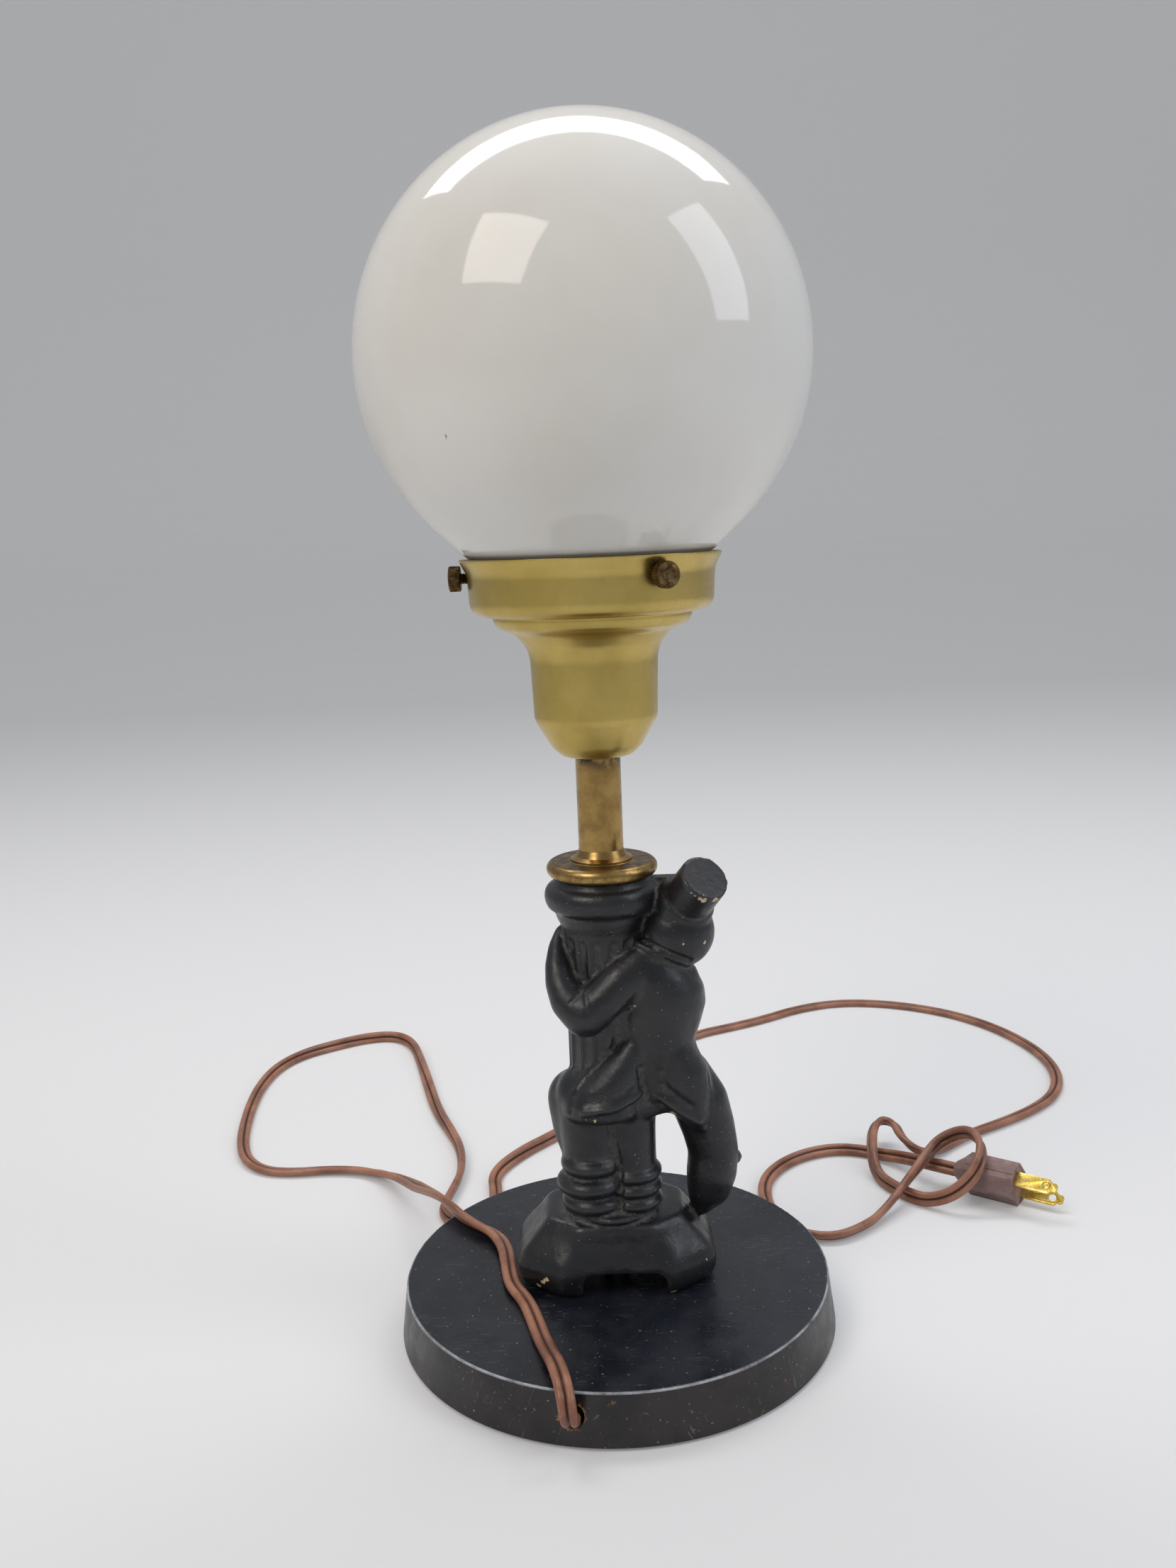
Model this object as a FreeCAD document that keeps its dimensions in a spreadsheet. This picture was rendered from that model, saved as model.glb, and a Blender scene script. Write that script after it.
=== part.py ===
import FreeCAD, Part
import math
import os
import re

import Sketcher
from FreeCAD import Placement, Rotation, Vector

# Figural table lamp: millimetres, +Z up, origin on the table under the lamp's own axis.

os.makedirs("parts", exist_ok=True)
doc = FreeCAD.newDocument("table_lamp")
sizes = doc.addObject("Spreadsheet::Sheet", "sizes")

# alias, value, what it is
drivingSizes = [
    ("feltRadius", 78.4, "felt pad radius"),
    ("feltThickness", 1.2, "felt pad thickness"),
    ("baseTopRadius", 78.6, "base disc radius at its top edge"),
    ("baseBottomRadius", 80.85, "base disc radius at its bottom edge"),
    ("baseTop", 19.35, "height of the base disc's top"),
    ("baseEdgeRound", 0.8, "rounding of the worn top edge"),
    ("basePlate", 3.75, "thickness of the base disc's top"),
    ("baseHollowRadius", 68.0, "radius of the hollow under the base"),
    ("cordHoleRadius", 4.25, "radius of the cord hole in the base's side"),
    ("cordHoleHeight", 11.2, "height of the cord hole"),
    ("rodRadius", 4.8, "threaded rod, 1/8 IP"),
    ("rodBoreRadius", 3.3, "bore of the rod"),
    ("rodBottom", 10.0, "lower end of the rod"),
    ("rodTop", 226.0, "upper end of the rod"),
    ("rodHoleRadius", 4.9, "hole for the rod in each piece"),
    ("washerRadius", 12.5, "washer under the base"),
    ("washerThickness", 1.2, "washer thickness"),
    ("nutRadius", 8.08, "hex nuts, across corners / 2"),
    ("nutHeight", 3.2, "hex nut height"),
    ("shaftRadius", 14.7, "column shaft radius over its flutes"),
    ("fluteRadius", 2.3, "radius of one flute's cutter"),
    ("fluteDepth", 0.9, "depth of one flute"),
    ("castingTop", 171.0, "top of the column's neck"),
    ("castingBoreRadius", 6.0, "bore through the casting"),
    ("capRadius", 20.0, "vase cap radius"),
    ("capTop", 176.5, "vase cap top"),
    ("tubeRadius", 7.95, "neck tube, 5/8 inch"),
    ("tubeBoreRadius", 6.95, "bore of the neck tube"),
    ("tubeFootRadius", 11.0, "flared foot of the neck tube"),
    ("tubeTop", 214.0, "top of the neck tube"),
    ("holderSheet", 0.8, "metal thickness of the globe holder"),
    ("globeSeat", 264.6, "height of the shelf that the globe stands on"),
    ("holderRim", 283.2, "top of the holder's rim"),
    ("globeRadius", 76.0, "globe radius, a 6 inch ball"),
    ("globeCentre", 347.9, "height of the globe's centre"),
    ("globeWall", 2.5, "glass thickness"),
    ("globeNeckRadius", 38.2, "globe neck radius, for a 3-1/4 inch fitter"),
    ("globeLipRadius", 40.3, "radius of the bead at the globe's lip"),
    ("screwHeight", 276.8, "height of the thumb screws"),
    ("screwShankRadius", 2.0, "thumb screw shank"),
    ("screwHoleRadius", 2.05, "thumb screw hole"),
    ("screwHeadRadius", 4.35, "thumb screw head"),
    ("screwHeadLength", 3.4, "thumb screw head length"),
    ("screwHeadStart", 44.9, "inner face of the head, from the lamp's axis"),
    ("screwTip", 38.4, "tip of the shank, from the lamp's axis"),
    ("socketBottom", 218.8, "underside of the socket cap"),
    ("socketRadius", 17.0, "socket cap radius"),
    ("socketShellTop", 267.0, "top of the socket shell"),
    ("bulbRadius", 30.0, "bulb radius at its widest"),
    ("bulbCentre", 321.0, "height of the bulb's widest part"),
    ("bulbSeat", 247.0, "bottom of the bulb's screw cap"),
    ("cordRadius", 2.35, "half the cord's mean thickness"),
    ("plugLength", 24.3, "plug body length"),
    ("plugHalfWidth", 11.0, "half the plug's width, across the blades"),
    ("plugHalfDepth", 7.5, "half the plug's depth"),
    ("plugBevel", 5.0, "bevel on the plug's four long edges"),
    ("bladeWidth", 6.35, "blade width"),
    ("bladeThickness", 1.5, "blade thickness"),
    ("bladeLength", 17.5, "blade length outside the body"),
    ("bladeSpacing", 12.7, "distance between the blades"),
]
for rowNumber, (alias, value, meaning) in enumerate(drivingSizes, start=1):
    sizes.set(f"A{rowNumber}", meaning)
    sizes.set(f"B{rowNumber}", str(value))
    sizes.setAlias(f"B{rowNumber}", alias)
doc.recompute()

size = {alias: float(sizes.get(alias)) for alias, _, _ in drivingSizes}
nodes = {}  # node name -> document object


# ---------------------------------------------------------------- helpers


def bound(text):
    """An expression over the sheet: every bare name becomes a cell of it."""
    return re.sub(r"(?!sqrt)\b[a-z][A-Za-z]+", lambda word: "sizes." + word.group(0), str(text))


def value(text):
    return float(doc.sizes.evalExpression(bound(text)))


def keep(label, obj):
    obj.Label = label
    nodes[label] = obj
    return obj


def originFeature(body, role):
    return next(item for item in body.Origin.OriginFeatures if item.Role == role)


def turned(label, profile, axisRole="XZ_Plane"):
    """A body turned about Z. Each profile point is (radius, height) or, where the
    edge that ends there is an arc, (radius, height, arcRadius): a plus arc bulges
    to the right of the way of travel, a minus arc to its left."""
    body = doc.addObject("PartDesign::Body", label + "_body")
    sketch = body.newObject("Sketcher::SketchObject", label + "_profile")
    sketch.AttachmentSupport = [(originFeature(body, axisRole), "")]
    sketch.MapMode = "FlatFace"
    places = [Vector(value(point[0]), value(point[1]), 0) for point in profile]
    for index, point in enumerate(profile):
        start, end = places[index - 1], places[index]
        if len(point) == 2:
            sketch.addGeometry(Part.LineSegment(start, end))
            continue
        radius = value(point[2])
        middle, along = (start + end) / 2, end - start
        right = Vector(along.y, -along.x, 0).normalize()
        side = 1 if radius > 0 else -1
        rise = math.sqrt(radius**2 - (along.Length / 2) ** 2)
        centre = middle - right * side * rise
        crown = centre + right * side * abs(radius)
        sketch.addGeometry(Part.ArcOfCircle(start, crown, end))
    isArc = [len(point) == 3 for point in profile]
    for index, point in enumerate(profile):
        after = (index + 1) % len(profile)
        endOf = lambda edge, last: arcEnd(sketch, edge, last, places, isArc)
        sketch.addConstraint(
            Sketcher.Constraint("Coincident", index, endOf(index, True), after, endOf(after, False))
        )
        for kind, text in (("DistanceX", point[0]), ("DistanceY", point[1])):
            amount = value(text)
            spot = endOf(index, True)
            if abs(amount) < 1e-9:
                line = -2 if kind == "DistanceX" else -1
                sketch.addConstraint(Sketcher.Constraint("PointOnObject", index, spot, line))
                continue
            number = sketch.addConstraint(Sketcher.Constraint(kind, -1, 1, index, spot, amount))
            sketch.setExpression(f"Constraints[{number}]", bound(text))
        if isArc[index]:
            number = sketch.addConstraint(
                Sketcher.Constraint("Radius", index, abs(value(point[2])))
            )
            sketch.setExpression(f"Constraints[{number}]", bound(str(point[2]).lstrip("-")))
    turn = body.newObject("PartDesign::Revolution", label + "_turned")
    turn.Profile = sketch
    turn.ReferenceAxis = (sketch, ["V_Axis"])
    turn.Angle = 360
    body.Tip = turn
    return body


def arcEnd(sketch, edge, last, places, isArc):
    """Which end of an edge, 1 or 2, lies at its first or last profile point."""
    wanted = places[edge] if last else places[edge - 1]
    if not isArc[edge]:
        return 2 if last else 1
    away = [(sketch.getPoint(edge, spot) - wanted).Length for spot in (1, 2)]
    return 1 if away[0] < away[1] else 2


def primitive(kind, name, place=(0, 0, 0), rotation=None, **bindings):
    """A Part primitive whose properties follow expressions over the sheet."""
    obj = doc.addObject("Part::" + kind, name)
    for prop, text in bindings.items():
        obj.setExpression(prop, bound(text))
    obj.Placement = Placement(Vector(*(value(item) for item in place)), rotation or Rotation())
    if rotation is None:
        for letter, text in zip("xyz", place):
            obj.setExpression("Placement.Base." + letter, bound(text))
    return obj


def cut(name, base, *tools):
    tool = tools[0]
    if len(tools) > 1:
        tool = doc.addObject("Part::MultiFuse", name + "_tools")
        tool.Shapes = list(tools)
    result = doc.addObject("Part::Cut", name)
    result.Base = base
    result.Tool = tool
    result.Refine = False
    return result


def fuse(name, *items):
    result = doc.addObject("Part::MultiFuse", name)
    result.Shapes = list(items)
    result.Refine = False
    return result


def solid(name, shape, placement=None):
    """A shape that no single feature gives, at its own placement."""
    obj = doc.addObject("Part::Feature", name)
    obj.Shape = shape
    if placement:
        obj.Placement = placement
    return obj


def hexNut(label, bottom):
    prism = doc.addObject("Part::Prism", label + "_blank")
    prism.Polygon = 6
    prism.setExpression("Circumradius", bound("nutRadius"))
    prism.setExpression("Height", bound("nutHeight"))
    prism.setExpression("Placement.Base.z", bound(bottom))
    bore = primitive("Cylinder", label + "_bore", (0, 0, f"{bottom} - 1"),
                     Radius="rodRadius", Height="nutHeight + 2")
    return keep(label, cut(label, prism, bore))


def ring(label, outer, inner, bottom, height):
    blank = primitive("Cylinder", label + "_blank", (0, 0, bottom), Radius=outer, Height=height)
    bore = primitive("Cylinder", label + "_bore", (0, 0, f"{bottom} - 1"),
                     Radius=inner, Height=f"{height} + 2")
    return keep(label, cut(label, blank, bore))


# ---------------------------------------------------------------- base

keep("felt_pad", primitive("Cylinder", "felt_pad", Radius="feltRadius", Height="feltThickness"))

baseBlank = turned("base_blank", [
    ("rodHoleRadius", "baseTop"),
    ("rodHoleRadius", "baseTop - basePlate"),
    ("baseHollowRadius - 4", "baseTop - basePlate"),
    ("baseHollowRadius", "baseTop - basePlate - 4", "-4"),
    ("baseHollowRadius", "feltThickness"),
    ("baseBottomRadius", "feltThickness"),
    ("baseTopRadius", "baseTop - baseEdgeRound"),
    ("baseTopRadius - baseEdgeRound", "baseTop", "baseEdgeRound"),
])
cordAngle = math.atan2(-78.5, -17.2)  # where the cord hole is, about the lamp's axis
cordWay = Vector(math.cos(cordAngle), math.sin(cordAngle), 0)
cordHole = primitive("Cylinder", "cord_hole", (0, 0, "cordHoleHeight"),
                     Rotation(Vector(0, 0, 1), cordWay), Radius="cordHoleRadius")
cordHole.setExpression("Height", bound("baseBottomRadius + 5"))
cordHole.Placement.Base = cordWay * 50 + Vector(0, 0, size["cordHoleHeight"])
keep("base_disc", cut("base_disc", baseBlank, cordHole))

ring("base_washer", "washerRadius", "rodHoleRadius",
     "baseTop - basePlate - washerThickness", "washerThickness")
hexNut("base_hex_nut", "baseTop - basePlate - washerThickness - nutHeight")
ring("threaded_rod", "rodRadius", "rodBoreRadius", "rodBottom", "rodTop - rodBottom")

# ---------------------------------------------------------------- figure casting

# A fluted column on a four-footed plinth, with a figure in a long coat leaning on it.

plinthFoot = size["baseTop"]  # the plinth stands on the base's top
column = turned("column", [
    (0, "castingTop"),
    (0, "baseTop + 8"),
    ("shaftRadius + 3", "baseTop + 8"),
    ("shaftRadius + 3", "baseTop + 26"),
    ("shaftRadius", "baseTop + 30"),
    ("shaftRadius", "castingTop - 19"),
    ("shaftRadius + 1.6", "castingTop - 14.7"),
    ("shaftRadius + 4.1", "castingTop - 9.6"),
    ("shaftRadius + 4.1", "castingTop - 3.4", "3.6"),
    ("shaftRadius + 2.5", "castingTop - 2.6"),
    ("shaftRadius + 2.5", "castingTop"),
])
fluteCount = 16
flutes = []
for index in range(fluteCount):
    angle = math.radians((index + 0.5) * 360 / fluteCount)
    reach = "(shaftRadius + fluteRadius - fluteDepth)"
    flutes.append(primitive(
        "Cylinder", f"flute_{index:02d}",
        (f"{reach} * {math.cos(angle):.6f}", f"{reach} * {math.sin(angle):.6f}", "baseTop + 32"),
        Radius="fluteRadius", Height="castingTop - baseTop - 53",
    ))
flutedColumn = cut("fluted_column", column, *flutes)


def spun(edges, base, way):
    """A closed half outline in the XZ plane, turned about Z, then stood on base along way."""
    shape = Part.Face(Part.Wire(edges)).revolve(Vector(), Vector(0, 0, 1), 360)
    shape = shape if shape.ShapeType == "Solid" else Part.Solid(shape)
    shape.Placement = Placement(Vector(*base), Rotation(Vector(0, 0, 1), Vector(*way)))
    return shape


def limb(start, end, startRadius, endRadius):
    """A round-ended, tapering length of arm or leg."""
    way = Vector(*end) - Vector(*start)
    lean = math.asin((startRadius - endRadius) / way.Length)

    def onBall(height, radius, angle):
        return Vector(radius * math.cos(angle), 0, height + radius * math.sin(angle))

    foot, low = onBall(0, startRadius, -math.pi / 2), onBall(0, startRadius, lean)
    high = onBall(way.Length, endRadius, lean)
    crown = onBall(way.Length, endRadius, math.pi / 2)
    lowMiddle = onBall(0, startRadius, (lean - math.pi / 2) / 2)
    highMiddle = onBall(way.Length, endRadius, (lean + math.pi / 2) / 2)
    edges = [Part.Arc(foot, lowMiddle, low).toShape(), Part.LineSegment(low, high).toShape(),
             Part.Arc(high, highMiddle, crown).toShape(), Part.LineSegment(crown, foot).toShape()]
    return spun(edges, start, way)


def fold(centre, height, radius, thick):
    """One rolled fold of cloth: a disc with a half-round edge."""
    half = thick / 2
    flat = radius - half
    corners = [Vector(0, 0, -half), Vector(flat, 0, -half), Vector(radius, 0, 0),
               Vector(flat, 0, half), Vector(0, 0, half)]
    edges = [Part.LineSegment(corners[0], corners[1]).toShape(),
             Part.Arc(corners[1], corners[2], corners[3]).toShape(),
             Part.LineSegment(corners[3], corners[4]).toShape(),
             Part.LineSegment(corners[4], corners[0]).toShape()]
    return spun(edges, (centre[0], centre[1], height), (0.03, -0.02, 1))


def chain(*stations):
    """A limb through several (place, radius) stations; each length starts a little
    inside the one before it."""
    inset = 0.97
    return [limb(start, end, startRadius * inset, endRadius)
            for (start, startRadius), (end, endRadius) in zip(stations, stations[1:])]


def ellipseWire(centre, halfX, halfY, turn=0.0):
    """A flat ellipse across Z, as one closed edge."""
    longer = max(halfX, halfY)
    shorter = min(halfX, halfY)
    ellipse = Part.Ellipse(Vector(0, 0, 0), longer, shorter)
    wire = Part.Wire([ellipse.toShape()])
    quarter = 0 if halfX >= halfY else 90
    wire.Placement = Placement(Vector(*centre), Rotation(Vector(0, 0, 1), turn + quarter))
    return wire


def coat():
    """The long coat: flared at the hem, drawn in at the waist, broad at the shoulders."""
    stations = [  # height, centre x, centre y, half width, half depth
        (82.0, 9.0, -3.0, 25.5, 17.5),
        (88.0, 10.5, -3.0, 25.5, 18.0),
        (98.0, 13.5, -3.0, 19.5, 16.5),
        (109.0, 15.5, -3.0, 14.6, 15.0),
        (120.0, 18.0, -3.5, 15.6, 16.0),
        (131.0, 19.0, -3.5, 15.4, 16.0),
        (139.0, 18.5, -3.5, 11.5, 13.0),
    ]
    wires = [ellipseWire((x, y, z), halfX, halfY) for z, x, y, halfX, halfY in stations]
    return Part.makeLoft(wires, True)


def plinth():
    """An eight-sided block, drawn in upwards, on four corner feet."""
    def outline(halfX, halfY, corner, height):
        points = [
            (halfX - corner, -halfY), (halfX, -halfY + corner),
            (halfX, halfY - corner), (halfX - corner, halfY),
            (-halfX + corner, halfY), (-halfX, halfY - corner),
            (-halfX, -halfY + corner), (-halfX + corner, -halfY),
        ]
        corners = [Vector(x, y, height) for x, y in points]
        return Part.makePolygon(corners + corners[:1])

    body = Part.makeLoft([outline(33.5, 25.0, 9.0, plinthFoot + 5.5), outline(26.5, 20.5, 9.0, 45)],
                         True, True)
    feet = []
    for sideX in (-1, 1):
        for sideY in (-1, 1):
            feet.append(limb((sideX * 26.6, sideY * 17.6, plinthFoot + 6.8),
                             (sideX * 20.0, sideY * 14.0, 36), 8.4, 7.0))
    belowFeet = Part.makeBox(120, 120, 20, Vector(-60, -60, plinthFoot - 20))
    return body.fuse(feet).cut(belowFeet)


def trousers():
    """Two legs side by side in front of the column, with folds stacked on the shoes."""
    pieces = chain(((-9, -6, 88), 13.5), ((-8, -9, 72), 11.5), ((-8.5, -9, 60), 11.5))
    pieces += chain(((8, -6, 88), 11.0), ((7.5, -8, 72), 10.0), ((7, -9, 60), 10.5))
    pieces.append(limb((-13, 2, 87), (-11, 2, 66), 11.0, 9.5))
    for centre, radius, heights in (((-9.0, -7.5), 12.3, (65.5, 57.6, 49.6)),
                                    ((8.0, -7.0), 11.0, (62.2, 54.4, 46.6))):
        pieces += [fold(centre, height, radius, 9.0) for height in heights]
    return pieces


def standingLeg():
    """The other leg, bowed out to the right and down to the plinth's end."""
    return chain(((28, 0, 91), 11.0), ((35.0, -1.0, 76), 10.0), ((37.0, -1.0, 64), 9.0),
                 ((35.0, -2.0, 52), 8.0), ((29.0, -3.0, 44), 7.0)) + [
                     limb((40, 4, 60), (45.5, 7, 58), 4.5, 3.0)]


def arms():
    """Both arms fold round the column and meet on its far left."""
    near = chain(((11, -12, 137), 7.5), ((-7.5, -17, 123), 6.4), ((-16.5, -8, 133), 5.2),
                 ((-14.5, -2, 142), 4.2))
    far = chain(((13, 9, 137), 7.5), ((-6, 16, 124), 6.4), ((-16, 6, 131), 5.2))
    return near + far


def head():
    """A plain ball of a head, a rolled collar and a short-brimmed tall hat, all leaning."""
    middle = Vector(26, -5, 151.5)
    hatWay = Vector(0.32, -0.48, 0.815).normalize()
    skull = Part.makeSphere(13.2, middle)
    brim = Part.makeCone(12.4, 11.2, 3.0, middle + hatWay * 5.5, hatWay)
    crown = Part.makeCone(9.9, 8.7, 22.0, middle + hatWay * 8.0, hatWay)
    collar = Part.makeCylinder(11.5, 5, Vector(20.5, -4, 135.5), Vector(0.35, -0.15, 0.92))
    web = Part.makeBox(16, 9, 22, Vector(12, -8, 146))
    return [skull, brim, crown, collar, web]


doc.recompute()
figureBlank = coat().fuse(trousers() + standingLeg() + arms() + head() + [plinth()])
figureBlank = figureBlank.fuse(flutedColumn.Shape)
rodBore = primitive("Cylinder", "casting_bore", (0, 0, "baseTop - 1"),
                    Radius="castingBoreRadius", Height="castingTop - baseTop + 2")
keep("figure_casting", cut("figure_casting", solid("figure_blank", figureBlank.Solids[0]), rodBore))

# ---------------------------------------------------------------- brass stack

keep("vase_cap", turned("vase_cap", [
    ("rodHoleRadius", "capTop"),
    ("rodHoleRadius", "capTop - 0.9"),
    ("capRadius - 2.8", "capTop - 0.9"),
    ("capRadius - 2.8", "castingTop + 0.9", "-1.9"),
    ("capRadius - 6", "castingTop + 0.9"),
    ("capRadius - 6", "castingTop"),
    ("capRadius - 2.75", "castingTop"),
    ("capRadius - 2.75", "capTop", "2.76"),
    ("capRadius - 8.1", "capTop"),
    ("capRadius - 8.5", "capTop - 0.35"),
    ("capRadius - 8.9", "capTop"),
]))

keep("neck_tube", turned("neck_tube", [
    ("tubeBoreRadius", "tubeTop"),
    ("tubeBoreRadius", "capTop"),
    ("tubeFootRadius", "capTop"),
    ("tubeFootRadius", "capTop + 0.7"),
    ("tubeRadius + 1.1", "capTop + 1.6"),
    ("tubeRadius", "capTop + 4"),
    ("tubeRadius", "tubeTop"),
]))

keep("globe_holder", turned("globe_holder", [
    ("rodHoleRadius", "tubeTop"),
    (11.6, "tubeTop"),
    (13.6, "tubeTop + 1.9", "2.2"),
    (17.0, "tubeTop + 7"),
    (19.3, "tubeTop + 10"),
    (21.7, "tubeTop + 14.5"),
    (22.3, "tubeTop + 34"),
    (23.2, "tubeTop + 38"),
    (28.0, "tubeTop + 44.3"),
    (30.0, "tubeTop + 44.3"),
    (34.0, "tubeTop + 47.6", "4.2"),
    (34.2, "globeSeat - holderSheet"),
    (39.3, "globeSeat - holderSheet"),
    (41.9, "globeSeat + 1.8", "2.65"),
    (42.6, "holderRim - 5"),
    (44.9, "holderRim - 0.7"),
    (44.9, "holderRim"),
    ("44.0", "holderRim"),
    ("42.6 - holderSheet", "holderRim - 5.4"),
    ("41.9 - holderSheet", "globeSeat + 1.8"),
    ("39.3", "globeSeat", "-1.85"),
    ("34.2 - holderSheet", "globeSeat"),
    ("34.0 - holderSheet", "tubeTop + 47.6"),
    ("30.0", "tubeTop + 44.3 + holderSheet", "-3.4"),
    ("27.7", "tubeTop + 44.3 + holderSheet"),
    ("23.2 - holderSheet", "tubeTop + 38.5"),
    ("22.3 - holderSheet", "tubeTop + 34.3"),
    ("21.7 - holderSheet", "tubeTop + 14.8"),
    (18.6, "tubeTop + 10.7"),
    (16.4, "tubeTop + 7.8"),
    (13.1, "tubeTop + 2.6"),
    (11.6, "tubeTop + holderSheet", "-1.9"),
    ("rodHoleRadius", "tubeTop + holderSheet"),
]))

# ---------------------------------------------------------------- screws that hold the globe

screwAngles = {"thumb_screw_left": 180, "thumb_screw_front": 300, "thumb_screw_back": 60}
holder = nodes["globe_holder"]
screwHoles = []
for label, angle in screwAngles.items():
    way = Vector(math.cos(math.radians(angle)), math.sin(math.radians(angle)), 0)
    outward = Rotation(Vector(0, 0, 1), way)
    level = Vector(0, 0, size["screwHeight"])
    hole = primitive("Cylinder", label + "_hole", (0, 0, 0), outward, Radius="screwHoleRadius")
    hole.Height = 20
    hole.Placement.Base = way * 32 + level
    screwHoles.append(hole)
    shank = primitive("Cylinder", label + "_shank", (0, 0, 0), outward,
                      Radius="screwShankRadius", Height="screwHeadStart - screwTip + 0.5")
    shank.Placement.Base = way * size["screwTip"] + level
    knob = primitive("Cylinder", label + "_head", (0, 0, 0), outward,
                     Radius="screwHeadRadius", Height="screwHeadLength")
    knob.Placement.Base = way * size["screwHeadStart"] + level
    dome = primitive("Sphere", label + "_dome", (0, 0, 0), outward)
    dome.Radius = 5.0
    dome.Placement.Base = way * (size["screwHeadStart"] + size["screwHeadLength"] - 4.2) + level
    dome.Angle1 = 50
    keep(label, fuse(label, shank, knob, dome))
holder.Label = "globe_holder_blank"
keep("globe_holder", cut("globe_holder_drilled", holder, *screwHoles))

ring("lock_washer", 8.5, "rodHoleRadius", "tubeTop + holderSheet", 0.8)
hexNut("holder_locknut", "tubeTop + holderSheet + 0.8")

# ---------------------------------------------------------------- globe

keep("glass_globe", turned("glass_globe", [
    (0, "globeCentre + globeRadius", "globeRadius"),
    (0, "globeCentre + globeRadius - globeWall"),
    ("sqrt((globeRadius - globeWall)^2 - 55.57^2)", "globeCentre - 55.57",
     "-(globeRadius - globeWall)"),
    (41.3, "globeSeat + 21.9"),
    (38.4, "globeSeat + 19.8"),
    ("globeNeckRadius - globeWall", "globeSeat + 16.4"),
    ("globeNeckRadius - globeWall", "globeSeat"),
    ("globeLipRadius - 1.0", "globeSeat"),
    ("globeLipRadius", "globeSeat + 1.4"),
    ("globeLipRadius", "globeSeat + 4.4"),
    ("globeNeckRadius", "globeSeat + 6.6"),
    ("globeNeckRadius", "globeSeat + 16.2"),
    (40.6, "globeSeat + 18.1"),
    (43.3, "globeSeat + 19.9"),
    ("sqrt(globeRadius^2 - 57.3^2)", "globeCentre - 57.3"),
]))

# ---------------------------------------------------------------- socket

keep("socket_cap", turned("socket_cap", [
    ("rodRadius", "socketBottom"),
    (8.0, "socketBottom"),
    (8.6, "socketBottom + 3.2"),
    (14.0, "socketBottom + 8"),
    ("socketRadius", "socketBottom + 12"),
    ("socketRadius", "socketBottom + 21"),
    ("socketRadius - 0.6", "socketBottom + 21"),
    ("socketRadius - 0.6", "socketBottom + 12.2"),
    (13.6, "socketBottom + 8.6"),
    (7.6, "socketBottom + 3.8"),
    ("rodRadius", "socketBottom + 3.8"),
]))
ring("socket_shell", "socketRadius - 0.6", "socketRadius - 1.1",
     "socketBottom + 14.2", "socketShellTop - socketBottom - 14.2")
ring("socket_liner", "socketRadius - 1.1", "socketRadius - 1.9",
     "socketBottom + 14.2", "socketShellTop - socketBottom - 16")
socketPuck = primitive("Cylinder", "socket_puck", (0, 0, "socketBottom + 14.2"),
                       Radius="socketRadius - 1.9", Height=9.0)
puckSlots = [primitive("Box", f"puck_slot_{side}", (f"{side} * 11.6 - 3", -3.6, "socketBottom + 13"),
                       Length=6, Width=7.2, Height=7.5) for side in (-1, 1)]
wireWay = primitive("Cylinder", "puck_wire_way", (0, 0, "socketBottom + 13"), Radius=3, Height=5)
keep("socket_body", cut("socket_body", socketPuck, *puckSlots, wireWay))
ring("socket_screw_shell", 14.0, 13.45, "socketBottom + 23.2", 18.5)
keep("socket_centre_contact", primitive("Cylinder", "socket_centre_contact",
                                        (0, 0, "socketBottom + 23.2"), Radius=4,
                                        Height="bulbSeat - socketBottom - 25.75"))
terminals = [primitive("Cylinder", f"terminal_{side}", (f"{side} * 8.6", 0, "socketBottom + 16.5"),
                       Rotation(Vector(0, 0, 1), Vector(side, 0, 0)), Radius=2.4, Height=3.6)
             for side in (-1, 1)]
keep("terminal_screws", fuse("terminal_screws", *terminals))

# ---------------------------------------------------------------- bulb

keep("bulb_cap", turned("bulb_cap", [
    (13.15, "bulbSeat + 21"),
    (12.75, "bulbSeat + 21"),
    (12.75, "bulbSeat + 4.5"),
    (6.0, "bulbSeat + 0.6"),
    (6.0, "bulbSeat"),
    (8.0, "bulbSeat"),
    (13.15, "bulbSeat + 3.8"),
]))
keep("bulb_contact", turned("bulb_contact", [
    (0, "bulbSeat + 2"),
    (0, "bulbSeat - 2.4"),
    (4.4, "bulbSeat - 1.6"),
    (6.0, "bulbSeat"),
    (6.0, "bulbSeat + 0.6"),
    (4.4, "bulbSeat + 2"),
]))
keep("bulb_glass", turned("bulb_glass", [
    (0, "bulbCentre + bulbRadius", "bulbRadius"),
    (0, "bulbCentre + bulbRadius - 0.8"),
    ("sqrt((bulbRadius - 0.8)^2 - 13.3^2)", "bulbCentre - 13.3", "-(bulbRadius - 0.8)"),
    (14.6, "bulbSeat + 33"),
    (12.0, "bulbSeat + 22"),
    (12.0, "bulbSeat + 12"),
    (12.7, "bulbSeat + 12"),
    (12.7, "bulbSeat + 22"),
    (15.4, "bulbSeat + 33"),
    ("sqrt(bulbRadius^2 - 13.7^2)", "bulbCentre - 13.7"),
]))

# ---------------------------------------------------------------- cord

cordRadius = size["cordRadius"]


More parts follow.
